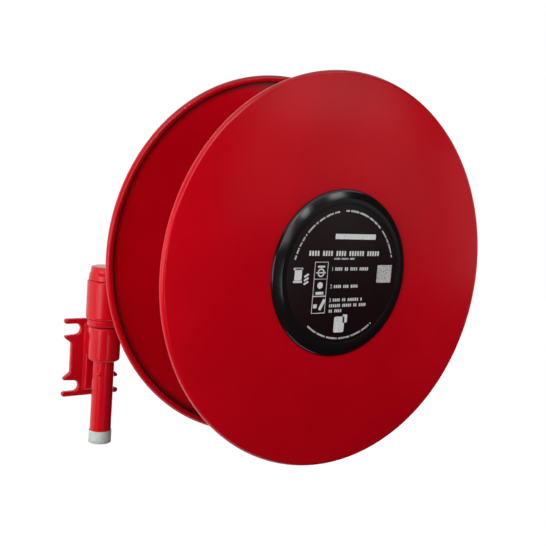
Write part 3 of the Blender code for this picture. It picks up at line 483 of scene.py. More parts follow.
SHEET_RED = powder_coat("red_sheet", *SHEET_REDS, 0.020, 0.20, 0.010, 0.35)
# The rear disc's paint carries painted shade in the crease beside its rolled rim.
REAR_RED = powder_coat("red_sheet_rear", *SHEET_REDS, 0.020, 0.20, 0.010, 0.35, painted_crease_shade=True)
CAST_RED = powder_coat("red_casting", *CAST_REDS, 0.024, 0.25, 0.060, 0.40)
PIPE_RED = powder_coat("red_pipe", *PIPE_REDS, 0.018, 0.24, 0.016, 0.40)
ZINC = bare_metal("zinc_plate", (0.62, 0.62, 0.59), (0.42, 0.41, 0.38), 0.34, 700)
BRASS = bare_metal("turned_brass", (0.72, 0.50, 0.20), (0.50, 0.32, 0.11), 0.28, 900)
ALLOY = bare_metal("cast_alloy", (0.60, 0.60, 0.60), (0.40, 0.40, 0.41), 0.46, 300)
# The fibre washer is real. Its dark red is painted shade, darkened to look like the shaded groove
# between the swivel's collar and the socket.
FIBRE_AND_GROOVE_SHADE = plain_plastic("red_fibre_groove_shade", (0.080, 0.0020, 0.0030), (0.060, 0.0015, 0.0022), 0.55, 0.00003)
ACETAL = plain_plastic("black_acetal", (0.020, 0.018, 0.018), (0.030, 0.026, 0.026), 0.45, 0.00002)
RUBBER = plain_plastic("seal_rubber", (0.012, 0.012, 0.012), (0.022, 0.021, 0.020), 0.75, 0.00004)
GLOSS = cover_gloss()
FILM = label_film()
PROTECTOR = protector_plastic()
WHITE_INK = printed_ink("white_ink", (0.62, 0.62, 0.63), (0.42, 0.42, 0.44))
GREY_INK = printed_ink("grey_ink", (0.50, 0.50, 0.50), (0.10, 0.10, 0.11))


# ============================================================== wall bracket
PLATE = 0.008           # its thickness
PLATE_HALF = 0.0645     # half its height
PLATE_EDGE = 0.0026     # round of its front edges
EAR_HALF = 0.0487       # half the width over the ears
WAIST_HALF = 0.0362
SLOT_PITCH = 0.095
SLOT_WIDTH = 0.017
SLOT_INNER = 0.0215     # from the middle to the slots' inner ends
RIB_HALF = 0.0160
RIB_INSET = 0.0095
RIB_HEIGHT = 0.009
RIB_DRAFT = 0.0022
RIB_EDGE = 0.0028
SOCKET_R = 0.025
SOCKET_LOW = 0.006
SOCKET_TOP = 0.0605
NECK_HALF = 0.0145
NECK_INSET = 0.003
NECK_DRAFT = 0.001
NECK_EDGE = 0.0012
CAST_GRAIN = 0.0008     # side of a casting's finest facets


def softened(mesh, faces_front, size):
    """Round the edges that stand at the front of a casting's block."""
    edges = [edge for edge in mesh.edges if all(vert.co.y < faces_front for vert in edge.verts)]
    bmesh.ops.bevel(mesh, geom=edges, offset=size, segments=4, profile=0.5,
                    affect="EDGES", material=-1, clamp_overlap=True)
    return settle(mesh)


def block(half_width, low, high, back, front, draft, edge):
    """A cast block whose sides lean in towards its front."""
    mesh = bmesh.new()
    bmesh.ops.create_cube(mesh, size=1)
    for corner in mesh.verts:
        lean = draft if corner.co.y < 0 else 0
        corner.co.x *= 2 * (half_width - lean)
        corner.co.z = (high + low) / 2 + corner.co.z * (high - low - 2 * lean)
        corner.co.y = -(back if corner.co.y > 0 else front)
    return softened(mesh, -(back + front) / 2, edge)


def make_bracket():
    """The slotted plate, its rib, neck and socket in one casting."""
    slot_high = SLOT_PITCH / 2 + SLOT_WIDTH / 2
    slot_low = SLOT_PITCH / 2 - SLOT_WIDTH / 2
    tip = (PLATE_HALF - slot_high) * 0.47
    slot_round = SLOT_WIDTH * 0.49
    point, underside, waist = (slot_low - drop for drop in (0.0022, 0.0075, 0.0145))
    upper = [(EAR_HALF, PLATE_HALF, tip), (EAR_HALF, slot_high, tip),
             (SLOT_INNER, slot_high, slot_round), (SLOT_INNER, slot_low, slot_round),
             (EAR_HALF, point, 0.0022), (EAR_HALF - 0.003, underside, 0.0025),
             (WAIST_HALF, waist, 0.006)]
    right = upper + [(x, -z, radius) for x, z, radius in reversed(upper)]
    left = [(-x, z, radius) for x, z, radius in reversed(right)]
    plate = moved(raised(rounded(right + left, 8), 0, PLATE), TO_MINUS_Y)
    plate = softened(plate, -PLATE / 2, PLATE_EDGE)
    rib = block(RIB_HALF, RIB_INSET - PLATE_HALF, PLATE_HALF - RIB_INSET, PLATE / 2,
                PLATE + RIB_HEIGHT, RIB_DRAFT, RIB_EDGE)
    neck = block(NECK_HALF, SOCKET_LOW + NECK_INSET, SOCKET_TOP - NECK_INSET, PLATE * 0.75,
                 -PIVOT_Y, NECK_DRAFT, NECK_EDGE)
    socket = turned(rounded([(0, SOCKET_LOW, 0), (SOCKET_R, SOCKET_LOW, 0.0045),
                             (SOCKET_R, SOCKET_TOP, 0.0012), (0, SOCKET_TOP, 0)]))
    casting = cast(joined(plate, rib, neck, moved(socket, PIVOT)), CAST_GRAIN, 5)
    past = 0.02
    bore = moved(rod(PIPE_R + GAP, SOCKET_LOW - past, SOCKET_TOP + past), PIVOT)
    piece("bracket_casting", cut(casting, bore), CAST_RED, "wall_unit", "wall_bracket", sharp=60)


# ================================================ inlet pipe and thread protector
PIPE_LOW = -0.1264
PIPE_TOP = 0.1015
THREAD_TOP = -0.1085
THREAD_TURNS = 7
THREAD_PITCH = 0.0023
THREAD_DEPTH = 0.0011
STUD_DROP = -0.0144
STUD_TURN = radians(-47)
STUD_R = 0.0034
STUD_HEAD = 0.0021
WASHER = 0.002          # thickness of the fibre washer
PROTECTOR_R = 0.0180


def make_pipe():
    """The painted pipe, threaded at its lower end, with its stud, washer and protector."""
    thread = []
    for index in range(THREAD_TURNS):
        low = PIPE_LOW + 0.0008 + index * THREAD_PITCH
        thread += [(PIPE_R - THREAD_DEPTH, low), (PIPE_R - 0.0001, low + THREAD_PITCH * 0.5),
                   (PIPE_R - THREAD_DEPTH, low + THREAD_PITCH)]
    profile = [(PIPE_BORE, PIPE_LOW), (PIPE_R - THREAD_DEPTH, PIPE_LOW)] + thread + [
        (PIPE_R, THREAD_TOP), (PIPE_R, PIPE_TOP - 0.0005), (PIPE_R - 0.0005, PIPE_TOP),
        (PIPE_BORE, PIPE_TOP)]
    piece("pipe_body", moved(turned(profile), PIVOT), PIPE_RED, "wall_unit", "inlet_pipe")

    dome = [(STUD_R * cos(radians(angle)),
             PIPE_R + STUD_HEAD * (0.25 + 0.75 * sin(radians(angle))))
            for angle in range(0, 90, 9)]
    root = PIPE_R - 0.002
    stud = turned([(0, root), (STUD_R, root)] + dome + [(0, PIPE_R + STUD_HEAD)], SMALL)
    turn = Matrix.Rotation(STUD_TURN, 4, "Z") @ TO_MINUS_Y
    piece("pipe_stud", moved(stud, PIVOT @ Matrix.Translation((0, 0, STUD_DROP)) @ turn),
          PIPE_RED, "wall_unit", "pipe_screw")

    low = SOCKET_TOP + GAP
    # The washer's dark red finish is painted shade for the groove under the collar.
    piece("swivel_washer", moved(ring(PIPE_R + GAP, SOCKET_R - 0.001, low, low + WASHER), PIVOT),
          FIBRE_AND_GROOVE_SHADE, "wall_unit", "thrust_washer")

    foot, top = (corner[2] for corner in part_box("thread_protector"))
    bore = PIPE_R + GAP
    sleeve = turned(rounded([(bore, foot, 0.0004), (PROTECTOR_R, foot, 0.0005),
                             (PROTECTOR_R, top, 0.0004), (bore, top, 0.0002)]))
    piece("protector_sleeve", moved(sleeve, PIVOT), PROTECTOR, "protector", "thread_protector")


# ============================================================ swivel and arm
COLLAR_R = 0.0286
COLLAR_LOW = 0.0631
COLLAR_TOP = 0.0731
COLLAR_FLARE = 0.0012
SWIVEL_R = 0.0315
SWIVEL_LOW = 0.0734
SWIVEL_TOP = 0.1345
SWIVEL_BORE = 0.021
CAP_LOW = 0.1348
CAP_TOP = 0.1563
BRANCH_R = 0.021
BRANCH_HEIGHT = 0.1075
BRANCH_REACH = 0.048
ARM_INSERT = 0.013
ARM_BEND_R = 0.058
ARM_SLOPE = 45          # degrees
ARM_NUT_ACROSS = 0.042
ARM_NUT = 0.008         # its thickness
ELBOW_R = 0.0205
ELBOW_BEND_R = 0.0225
ELBOW_RIM_R = 0.0238
ELBOW_RIM = 0.011
ELBOW_REACH = 0.036
REEL_OUT = HUB_X - PIVOT_X


def hexagon(across, bore, low, high):
    """A hexagon nut with chamfered corners and a bore."""
    prism = rod(across / 2 / cos(pi / 6), low, high, 6)
    inner, outer, chamfer, past = across * 0.50, across * 0.58, across * 0.045, 0.001
    crown = turned([(0, low - past), (inner, low - past), (outer, low + chamfer),
                    (outer, high - chamfer), (inner, high + past), (0, high + past)], SMALL)
    shaped = cut(prism, crown, operation="INTERSECT")
    return cut(shaped, rod(bore, low - 2 * past, high + 2 * past, SMALL))


def make_swivel():
    """Collar, body and cap of the swivel."""
    collar = turned(rounded([(PIPE_R + GAP, COLLAR_LOW, 0), (COLLAR_R, COLLAR_LOW, 0.0012),
                             (COLLAR_R + COLLAR_FLARE, COLLAR_TOP, 0.0006),
                             (PIPE_R + GAP, COLLAR_TOP, 0)]))
    piece("swivel_ring", moved(collar, PIVOT), CAST_RED, "swing_arm", "swivel_collar")

    barrel = turned(rounded([(0, SWIVEL_LOW, 0), (SWIVEL_R, SWIVEL_LOW, 0.0036),
                             (SWIVEL_R, SWIVEL_TOP, 0.0022), (0, SWIVEL_TOP, 0)]))
    side = Matrix.Translation((0, 0, BRANCH_HEIGHT)) @ TO_X
    root, past = 0.006, 0.01
    branch = moved(turned(rounded([(0, root, 0), (BRANCH_R, root, 0),
                                   (BRANCH_R, BRANCH_REACH, 0.002), (0, BRANCH_REACH, 0)])), side)
    body = cast(joined(barrel, branch), CAST_GRAIN, 3)
    bore = rod(SWIVEL_BORE, SWIVEL_LOW - past, SWIVEL_TOP + past)
    seat = BRANCH_REACH - ARM_INSERT - GAP
    branch_bore = moved(rod(PIPE_R + GAP, seat, BRANCH_REACH + past), side)
    water_way = moved(rod(PIPE_BORE, 0.001, BRANCH_REACH), side)
    piece("swivel_barrel", moved(cut(body, bore, branch_bore, water_way), PIVOT), CAST_RED,
          "swing_arm", "swivel_body", sharp=60)

    shoulder, step = CAP_LOW + 0.0085, CAP_LOW + 0.0130
    foot_r, shoulder_r, step_r, top_r = 0.0298, 0.0290, 0.0272, 0.0262
    cap = turned(rounded([(0, CAP_LOW, 0), (foot_r, CAP_LOW, 0.0010),
                          (shoulder_r, shoulder, 0.0035), (step_r, step, 0.0022),
                          (top_r, CAP_TOP, 0.0026), (0, CAP_TOP, 0)], 8))
    piece("swivel_top", moved(cap, PIVOT), CAST_RED, "swing_arm", "swivel_cap")


def make_arm():
    """The bent tube, its lock nut and the elbow that holds the spindle."""
    slope = radians(ARM_SLOPE)
    start = BRANCH_REACH - ARM_INSERT
    rise = HUB_Z - BRANCH_HEIGHT
    diagonal = (rise - 2 * ARM_BEND_R * (1 - cos(slope))) / sin(slope)
    spread = 2 * ARM_BEND_R * sin(slope) + diagonal * cos(slope)
    spare = REEL_OUT - ELBOW_REACH + ARM_INSERT - start - spread
    route = [("run", spare * 0.45), ("bend", (0, -1, 0), ARM_BEND_R, ARM_SLOPE), ("run", diagonal),
             ("bend", (0, 1, 0), ARM_BEND_R, ARM_SLOPE), ("run", spare * 0.55)]
    arm = tube(PIPE_R, PIPE_BORE, (start, 0, BRANCH_HEIGHT), route)
    piece("bent_arm", moved(arm, PIVOT), PIPE_RED, "swing_arm", "arm_tube")

    side = Matrix.Translation((BRANCH_REACH + GAP, 0, BRANCH_HEIGHT)) @ TO_X
    nut = hexagon(ARM_NUT_ACROSS, PIPE_R + GAP, 0, ARM_NUT)
    piece("arm_nut", moved(nut, PIVOT @ side), ZINC, "swing_arm", "arm_lock_nut")

    leg = PIVOT_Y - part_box("hub_elbow")[0][1]
    corner = Vector((REEL_OUT, 0, HUB_Z))
    into = Matrix.Translation(corner - Vector((ELBOW_REACH, 0, 0))) @ TO_X
    out = Matrix.Translation(corner - Vector((0, leg, 0))) @ Matrix.Rotation(-pi / 2, 4, "X")

    def bar(radius, shortened):
        """A round bar through both legs of the elbow, shortened at its ends."""
        inwards, outwards = (reach - ELBOW_BEND_R - shortened for reach in (ELBOW_REACH, leg))
        return moved(tube(radius, 0, (shortened - ELBOW_REACH, 0, 0),
                          [("run", inwards), ("bend", (0, 0, -1), ELBOW_BEND_R, 90),
                           ("run", outwards)], ROUND, 16), Matrix.Translation(corner))

    rim = rounded([(0, 0, 0), (ELBOW_RIM_R, 0, 0.0015), (ELBOW_RIM_R, ELBOW_RIM, 0.0015),
                   (0, ELBOW_RIM, 0)])
    shells = joined(bar(ELBOW_R, 0.003), moved(turned(rim), into), moved(turned(rim), out))
    past = 0.002
    body = cut(cast(shells, CAST_GRAIN, 3), bar(PIPE_BORE, 0.006),
               moved(rod(PIPE_R + GAP, -past, ARM_INSERT + GAP), into),
               moved(rod(SPINDLE_R + GAP, -past, ARM_INSERT + GAP), out))
    piece("reel_elbow", moved(body, PIVOT), CAST_RED, "swing_arm", "hub_elbow", sharp=60)


# ================================================== spindle, discs, hub and tail
DRUM_HOLE_R = 0.014     # lets the hose tail out


def make_spindle():
    """The part of the spindle that shows behind the reel, and its washer."""
    low = REAR_HIGH.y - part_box("hub_spindle")[1][1]
    tip = REAR_HIGH.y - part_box("hub_spindle")[0][1]
    bore, thread_r, thread = 0.010, 0.015, tip - 0.012
    collar_r, collar_back, collar_front = 0.026, -0.006, -0.002
    shape = turned(rounded([(bore, low, 0), (SPINDLE_R, low, 0.0008), (SPINDLE_R, collar_back, 0),
                            (collar_r, collar_back, 0.0006), (collar_r, collar_front, 0.0004),
                            (SPINDLE_R, collar_front, 0), (SPINDLE_R, thread, 0),
                            (thread_r, thread, 0), (thread_r, tip, 0.0010), (0, tip, 0),
                            (0, tip - 0.07, 0), (bore, tip - 0.074, 0)], 3))
    piece("reel_spindle", moved(shape, REEL), BRASS, "swing_arm", "hub_spindle")
    washer = ring(SPINDLE_R + GAP, collar_r, collar_front + GAP, collar_front + GAP + 0.002)
    piece("spindle_slip_ring", moved(washer, REEL), ACETAL, "swing_arm", "rear_thrust_washer")


def disc_profile():
    """A disc as (radius, depth) from its flat face: dish, flat sheet and rolled rim."""
    hole = 0.0300
    foot = DISH_R - DISH_DRAFT
    middle = DISC_R - RIM_R
    steps = 30
    turns = [radians(RIM_ROLL * step / steps - 90) for step in range(steps + 1)]
    outside = [(middle + RIM_R * cos(turn), RIM_R + RIM_R * sin(turn), 0) for turn in turns]
    inside = [(middle + (RIM_R - SHEET) * cos(turn), RIM_R + (RIM_R - SHEET) * sin(turn), 0)
              for turn in reversed(turns)]
    lean = SHEET * 0.3      # how far the dish's wall leans in across the sheet
    return rounded([(hole, DISH_DEPTH, 0.0004), (foot, DISH_DEPTH, 0.0015), (DISH_R, 0, 0.0020)] +
                   outside + inside +
                   [(DISH_R - lean, SHEET, 0.0012), (foot - lean, DISH_DEPTH + SHEET, 0.0022),
                    (hole, DISH_DEPTH + SHEET, 0.0004)], 4)


def make_discs():
    """Both pressed discs with their rolled rims, and the drum between them."""
    # The rear plate's finish carries painted shade in the crease beside its rim.
    for name, node, sign, start, finish in (
            ("front_plate", "front_disc", -1, REEL_DEPTH, SHEET_RED),
            ("rear_plate", "rear_disc", 1, 0, REAR_RED)):
        disc = turned([(radius, start + sign * depth) for radius, depth in disc_profile()], FINE)
        piece(name, moved(disc, REEL), finish, "reel", node)
    inner, past = DISH_R + GAP, 0.03
    shell = ring(inner, inner + SHEET, SHEET + GAP, REEL_DEPTH - SHEET - GAP, FINE)
    hole = moved(rod(DRUM_HOLE_R, DISH_R - past, DISH_R + past), OUTLET)
    piece("hose_drum", moved(cut(shell, hole), REEL), SHEET_RED, "reel", "drum")


HUB_NECK_R = 0.0297     # what goes through the discs
HUB_FLANGE_R = 0.060
HUB_WEB_R = 0.038
HUB_R = 0.032
HUB_BORE = 0.022
NUT_POCKET_R = 0.0268
NUT_POCKET = 0.0112     # its depth
BOSS_R = 0.016
BOSS_ROOT = 0.028
BOLT_CIRCLE_R = 0.048
BOLT_R = 0.004
BOLT_HEAD_R = 0.0075
TIE_NUT_ACROSS = 0.013
TIE_NUT_LOW = -0.0013
TIE_NUT_HIGH = 0.0037
BOSS_REACH = 0.060
TAIL_R = 0.010
TAIL_BORE = 0.0075
TAIL_INSERT = 0.012
TAIL_RISE = 0.0475      # from the boss to its bend
TAIL_BEND_R = 0.020
TAIL_REACH = 0.046
TAIL_NUT_ACROSS = 0.026
TAIL_NUT = 0.008        # its thickness
BARBS = 3
BARB_PITCH = 0.011
BARB_R = 0.0127


def make_hub():
    """The cast hub behind the cover, with its tie bolts and nuts."""
    back, front = 0.0006, REEL_DEPTH - 0.003
    rear = DISH_DEPTH + SHEET + GAP
    fore = REEL_DEPTH - rear
    flange, web = 0.006, 0.018
    hub = turned(rounded(
        [(HUB_BORE, back, 0.0005), (HUB_NECK_R, back, 0.0005), (HUB_NECK_R, rear, 0),
         (HUB_FLANGE_R, rear, 0.0008), (HUB_FLANGE_R, rear + flange, 0.0010),
         (HUB_WEB_R, rear + flange, 0.002), (HUB_R, rear + web, 0.004),
         (HUB_R, fore - web, 0.004), (HUB_WEB_R, fore - flange, 0.002),
         (HUB_FLANGE_R, fore - flange, 0.0010), (HUB_FLANGE_R, fore, 0.0008),
         (HUB_NECK_R, fore, 0), (HUB_NECK_R, front, 0.0004), (NUT_POCKET_R, front, 0.0004),
         (NUT_POCKET_R, front - NUT_POCKET, 0), (HUB_BORE, front - NUT_POCKET, 0)], 3))
    boss = moved(rod(BOSS_R, BOSS_ROOT, BOSS_REACH), OUTLET)
    hub = cut(hub, boss, operation="UNION")
    hub = cut(hub, moved(rod(TAIL_R + GAP, BOSS_REACH - TAIL_INSERT - GAP, 0.070), OUTLET),
              moved(rod(TAIL_BORE, 0.016, 0.05), OUTLET))
    piece("hub_barrel", moved(hub, REEL), ALLOY, "reel", "hub_body")
    for index, angle in enumerate(around(4, pi / 4), 1):
        place = REEL @ Matrix.Translation((BOLT_CIRCLE_R * cos(angle),
                                           BOLT_CIRCLE_R * sin(angle), 0))
        end, seat, crown = -0.0028, REEL_DEPTH - 0.0037, REEL_DEPTH - 0.0002
        bolt = turned(rounded([(0, end, 0), (BOLT_R, end, 0.0006), (BOLT_R, seat, 0),
                               (BOLT_HEAD_R, seat, 0.0003),
                               (BOLT_HEAD_R, REEL_DEPTH - 0.0019, 0.0008),
                               (BOLT_HEAD_R * 0.6, crown, 0.0008), (0, crown, 0)], 3), SMALL)
        piece("hub_bolt_%d" % index, moved(bolt, place), ZINC, "reel", "tie_bolt_%d" % index)
        nut = hexagon(TIE_NUT_ACROSS, BOLT_R + GAP, TIE_NUT_LOW, TIE_NUT_HIGH)
        piece("hub_nut_%d" % index, moved(nut, place), ZINC, "reel", "tie_nut_%d" % index)


def make_tail():
    """The brass outlet that the hose is pushed on."""
    down = Matrix.Translation((0, 0, REEL_DEPTH / 2)) @ Matrix.Rotation(-pi / 2, 4, "Z")

    def run(radius, past):
        """A bar along the outlet's way, past its ends by so much."""
        return moved(tube(radius, 0, (BOSS_REACH - TAIL_INSERT - past, 0, 0),
                          [("run", TAIL_INSERT + TAIL_RISE + past),
                           ("bend", (0, 0, 1), TAIL_BEND_R, 90),
                           ("run", TAIL_REACH + past)], SMALL), down)

    pipe = run(TAIL_R, 0)
    foot = BOSS_REACH + GAP
    collar = moved(hexagon(TAIL_NUT_ACROSS, 0.006, foot, foot + TAIL_NUT), OUTLET)
    root_r = TAIL_R + 0.0003
    end = TAIL_BEND_R + TAIL_REACH
    barbs = [(0, end - BARBS * BARB_PITCH, 0)]
    for index in range(BARBS):
        low = end - (BARBS - index) * BARB_PITCH
        barbs += [(BARB_R, low, 0.0004), (root_r, low + BARB_PITCH * 0.9, 0.0004)]
    barbs += [(root_r, end - 0.0002, 0.0004), (0, end - 0.0002, 0)]
    corner = BOSS_REACH + TAIL_RISE + TAIL_BEND_R
    spigot = moved(turned(rounded(barbs, 3), SMALL),
                   Matrix.Translation((0, -corner, REEL_DEPTH / 2)) @ TO_X)
    whole = cut(cut(pipe, collar, spigot, operation="UNION"), run(TAIL_BORE, 0.001))
    piece("brass_tail", moved(whole, REEL), BRASS, "reel", "hose_tail")


# ================================================================= hub cover
COVER_LOW, COVER_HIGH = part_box("hub_cover")
COVER_R = (COVER_HIGH[0] - COVER_LOW[0]) / 2
COVER_FACE = REAR_HIGH.y - COVER_LOW[1]
COVER_FACE_R = 0.1133
LABEL_R = 0.105
LABEL_TOP = COVER_FACE - 0.0004
PRINT = 0.00005         # how far the ink stands above the label
# Places of the print are in millimetres from the label's centre.
ARC_R, FOOT_ARC_R = 95.3, 97.6
SIGN_LEFT, SIGN_RIGHT, SIGN_HEIGHT = -56.2, -31.2, 26.0
SIGN_MIDDLE = (SIGN_LEFT + SIGN_RIGHT) / 2
FIGURE_LEFT, FIGURE_SIZE = -25.0, 8.4
TEXT_LEFT, WIDE_TEXT_LEFT, LETTER = -17.5, -23.5, 3.6


def make_cover():
    """The gloss moulding over the hub and the film on it."""
    wall = 0.0024
    foot = REEL_DEPTH + GAP
    floor = COVER_FACE - 0.0012
    inside = floor - wall
    cover = turned(rounded(
        [(0, inside, 0), (COVER_FACE_R - wall, inside, 0.002), (COVER_R - 0.0054, foot, 0),
         (COVER_R - 0.0002, foot, 0.0002), (COVER_R, foot + 0.0026, 0.0060),
         (COVER_FACE_R, COVER_FACE, 0.0022), (LABEL_R + 0.0004, COVER_FACE, 0.0003),
         (LABEL_R + 0.0003, floor, 0), (0, floor, 0)], 6), FINE)
    piece("gloss_cover", moved(cover, REEL), GLOSS, "reel", "hub_cover")
    film = turned(rounded([(0, floor + GAP, 0), (LABEL_R, floor + GAP, 0),
                           (LABEL_R, LABEL_TOP, 0.0001), (0, LABEL_TOP, 0)], 2), FINE)
    piece("label_disc", moved(film, REEL), FILM, "reel", "cover_label")


def patch(x0, y0, x1, y1, corner=0.0):
    """A printed rectangle, in millimetres on the label."""
    sides = [(x0, y0, corner), (x1, y0, corner), (x1, y1, corner), (x0, y1, corner)]
    outline = [(x / 1000, y / 1000) for x, y in rounded(sides, 4)]
    return raised(outline, LABEL_TOP - PRINT, LABEL_TOP + PRINT)


def frame_line(x0, y0, x1, y1, width):
    """A printed rectangular outline."""
    low, high = y0 + width, y1 - width
    return [patch(x0, y0, x1, low), patch(x0, high, x1, y1),
            patch(x0, low, x0 + width, high), patch(x1 - width, low, x1, high)]


def line_of_blocks(x0, x1, low, high, pitch, words):
    """A row of plain blocks, such as stands for a line of print in a layout. A gap
    follows as many blocks as words says."""
    marks, x, count, word = [], x0, 0, 0
    while x + pitch * 0.7 < x1:
        if count == words[word % len(words)]:
            count, word = 0, word + 1
        else:
            marks.append(patch(x, low, x + pitch * 0.62, high))
            count += 1
        x += pitch
    return marks


def arc_of_blocks(radius, start, end, height, pitch, words):
    """A curved row of plain blocks between two angles in degrees."""
    marks = []
    step = pitch / radius
    angle, count, word = radians(start), 0, 0
    direction = 1 if end > start else -1
    while (radians(end) - angle) * direction > step:
        if count == words[word % len(words)]:
            count, word = 0, word + 1
        else:
            mark = patch(-pitch * 0.32, -height / 2, pitch * 0.32, height / 2)
            turn = Matrix.Rotation(angle - pi / 2, 4, "Z")
            marks.append(moved(mark, turn @ Matrix.Translation((0, radius / 1000, 0))))
            count += 1
        angle += step * direction
    return marks


def round_mark(x, y, outer, inner=0.0):
    """A printed dot or ring."""
    low, high = LABEL_TOP - PRINT, LABEL_TOP + PRINT
    if inner:
        shape = turned([(inner / 1000, low), (outer / 1000, low), (outer / 1000, high),
                        (inner / 1000, high)], SMALL)
    else:
        shape = rod(outer / 1000, low, high, SMALL)
    return moved(shape, Matrix.Translation((x / 1000, y / 1000, 0)))


def numeral(text, x, y, size):
    """A plain printed figure."""
    curve = bpy.data.curves.new("figure", "FONT")
    curve.body = text
    curve.size = size / 1000
    curve.extrude = PRINT
    thing = placed("figure", curve)
    bpy.context.view_layer.update()
    seen = thing.evaluated_get(bpy.context.evaluated_depsgraph_get())
    data = bpy.data.meshes.new_from_object(seen)
    shape = bmesh.new()
    shape.from_mesh(data)
    bpy.data.objects.remove(thing, do_unlink=True)
    bpy.data.curves.remove(curve)
    bpy.data.meshes.remove(data)
    return moved(shape, Matrix.Translation((x / 1000, y / 1000, LABEL_TOP)))


def make_print():
    """The marks on the label: rows of blocks, three framed signs and plain figures."""
    white = []
    for start, end, height, words in ((166, 141, 2.6, (3, 4, 3)), (139, 99, 2.6, (7, 2, 5, 6)),
                                      (93, 47, 3.0, (3, 7, 8, 4)), (44, 14, 2.6, (6, 3, 7))):
        white += arc_of_blocks(ARC_R, start, end, height, 2.3, words)
    white += arc_of_blocks(FOOT_ARC_R, 232, 310, 2.8, 2.4, (8, 7, 9, 9))
    white.append(patch(-22, 53.0, 56, 61.0, 1.0))
    white += line_of_blocks(-68, 69, 28.0, 35.4, 5.0, (4, 4, 4, 6, 5))
    white += line_of_blocks(-21, 22, 22.4, 25.0, 2.3, (5, 6, 4))
    for top in (19.2, -6.2, -32.0):
        white += frame_line(SIGN_LEFT, top - SIGN_HEIGHT, SIGN_RIGHT, top, 0.9)
    white.append(round_mark(SIGN_MIDDLE, 3.0, 6.4, 4.4))
    white.append(patch(-52.5, 2.0, -34.9, 4.0))
    white.append(patch(-50.5, 10.5, -37.0, 13.4, 1.4))
    white.append(round_mark(SIGN_MIDDLE, -16.0, 5.0))
    white.append(patch(-51.0, -29.6, -36.4, -25.6))
    white.append(moved(patch(-2.6, -9, 2.6, 9, 1.4), Matrix.Translation((-0.0375, -0.045, 0)) @
                       Matrix.Rotation(radians(-28), 4, "Z")))
    white.append(patch(-53.6, -50.0, -46.6, -44.0, 1.2))
    for text, foot in (("1", 5.6), ("2", -20.6), ("3", -41.6)):
        white.append(numeral(text, FIGURE_LEFT, foot, FIGURE_SIZE))
    for left, right, low, high, words in (
            (TEXT_LEFT, 51, 5.8, 10.8, (4, 2, 4, 5)), (TEXT_LEFT, 34, -20.4, -15.8, (4, 3, 4)),
            (TEXT_LEFT, 46, -40.8, -36.2, (4, 2, 6, 1)),
            (WIDE_TEXT_LEFT, 53, -49.4, -44.8, (6, 5, 2, 4)),
            (WIDE_TEXT_LEFT, 1, -57.4, -52.8, (2, 4))):
        white += line_of_blocks(left, right, low, high, LETTER, words)
    white.append(patch(-91.5, -8.0, -78.5, 9.5, 0.8))
    white.append(patch(-93.8, 7.5, -77.0, 10.5, 0.4))
    white.append(patch(-93.0, -11.5, -77.6, -8.6, 0.4))
    for height in (-1.0, -6.5, -12.0):
        white.append(moved(patch(-4.5, -1.5, 4.5, 1.5, 0.6),
                           Matrix.Translation((-0.0700, height / 1000, 0)) @
                           Matrix.Rotation(radians(28), 4, "Z")))
    white.append(patch(-11.8, -88.4, 8.0, -64.0, 2.6))
    white.append(patch(4.5, -74.0, 13.0, -61.2, 1.2))
    piece("label_print", moved(joined(*white), REEL), WHITE_INK, "reel")
    piece("label_square", moved(patch(65.0, -13.6, 94.0, 13.8, 0.4), REEL), GREY_INK, "reel")


# ============================================== CAD pieces that stay as they are
KEPT = {
    "pipe_circlip": ZINC, "lower_pivot_bush": ACETAL, "upper_pivot_bush": ACETAL,
    "pivot_seal_1": RUBBER, "pivot_seal_2": RUBBER, "cap_seal": RUBBER,
    "spindle_washer": ZINC, "drag_washer": ZINC, "spindle_nut": BRASS,
    "rear_hub_seal": RUBBER, "front_hub_seal": RUBBER,
    "rear_hub_bush": ACETAL, "front_hub_bush": ACETAL,
}


def dress_kept_nodes():
    """Give the CAD pieces that still show their finishes."""
    for name, finish in KEPT.items():
        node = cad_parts[name]
        node.data.materials.clear()
        node.data.materials.append(finish)


# ========================================================== floor, lamps, camera
AMBIENT = 0.02          # the room's light on the object, of the white that is seen
FLOOR_Z = -1.2
FLOOR_GLOW = 1.16       # brings the floor up to the white behind it
FLOOR_GLOW_SHARE = 0.87
CURTAIN_R = 2.8
CURTAIN_TOP = 2.4
CLOTH_START = 0.5       # the cloth lies on the floor from here to the curtain
CLOTH_RISE = 0.02
CURTAIN_LEFT = radians(-95)
CURTAIN_RIGHT = radians(140)
CAMERA_TURN = radians(-34.65)
CAMERA_RISE = radians(7.225)
CAMERA_ROLL = radians(4.353)
CAMERA_PLACE = (-2.6813, -3.2997, 0.5128)   # from the front rim's centre, in disc radii
CAMERA_LENS = 55.744
SENSOR = 36.0


def rays_that_show(tree):
    """1 for camera, mirror and glass rays, which see the plain white."""
    names = ("Is Camera Ray", "Is Glossy Ray", "Is Transmission Ray")
    camera, glossy, clear = (tree.node("ShaderNodeLightPath", output=name) for name in names)
    return (camera + glossy + clear).clamped()


def make_world():
    """White behind the object, which hardly lights it."""
    world = bpy.data.worlds.new("studio")
    world.use_nodes = True
    bpy.context.scene.world = world
    tree = Tree(world.node_tree)
    shown = rays_that_show(tree)
    background = world.node_tree.nodes["Background"]
    background.inputs["Color"].default_value = (1, 1, 1, 1)
    strength = AMBIENT + shown * (1.0 - AMBIENT)
    world.node_tree.links.new(strength.output, background.inputs["Strength"])


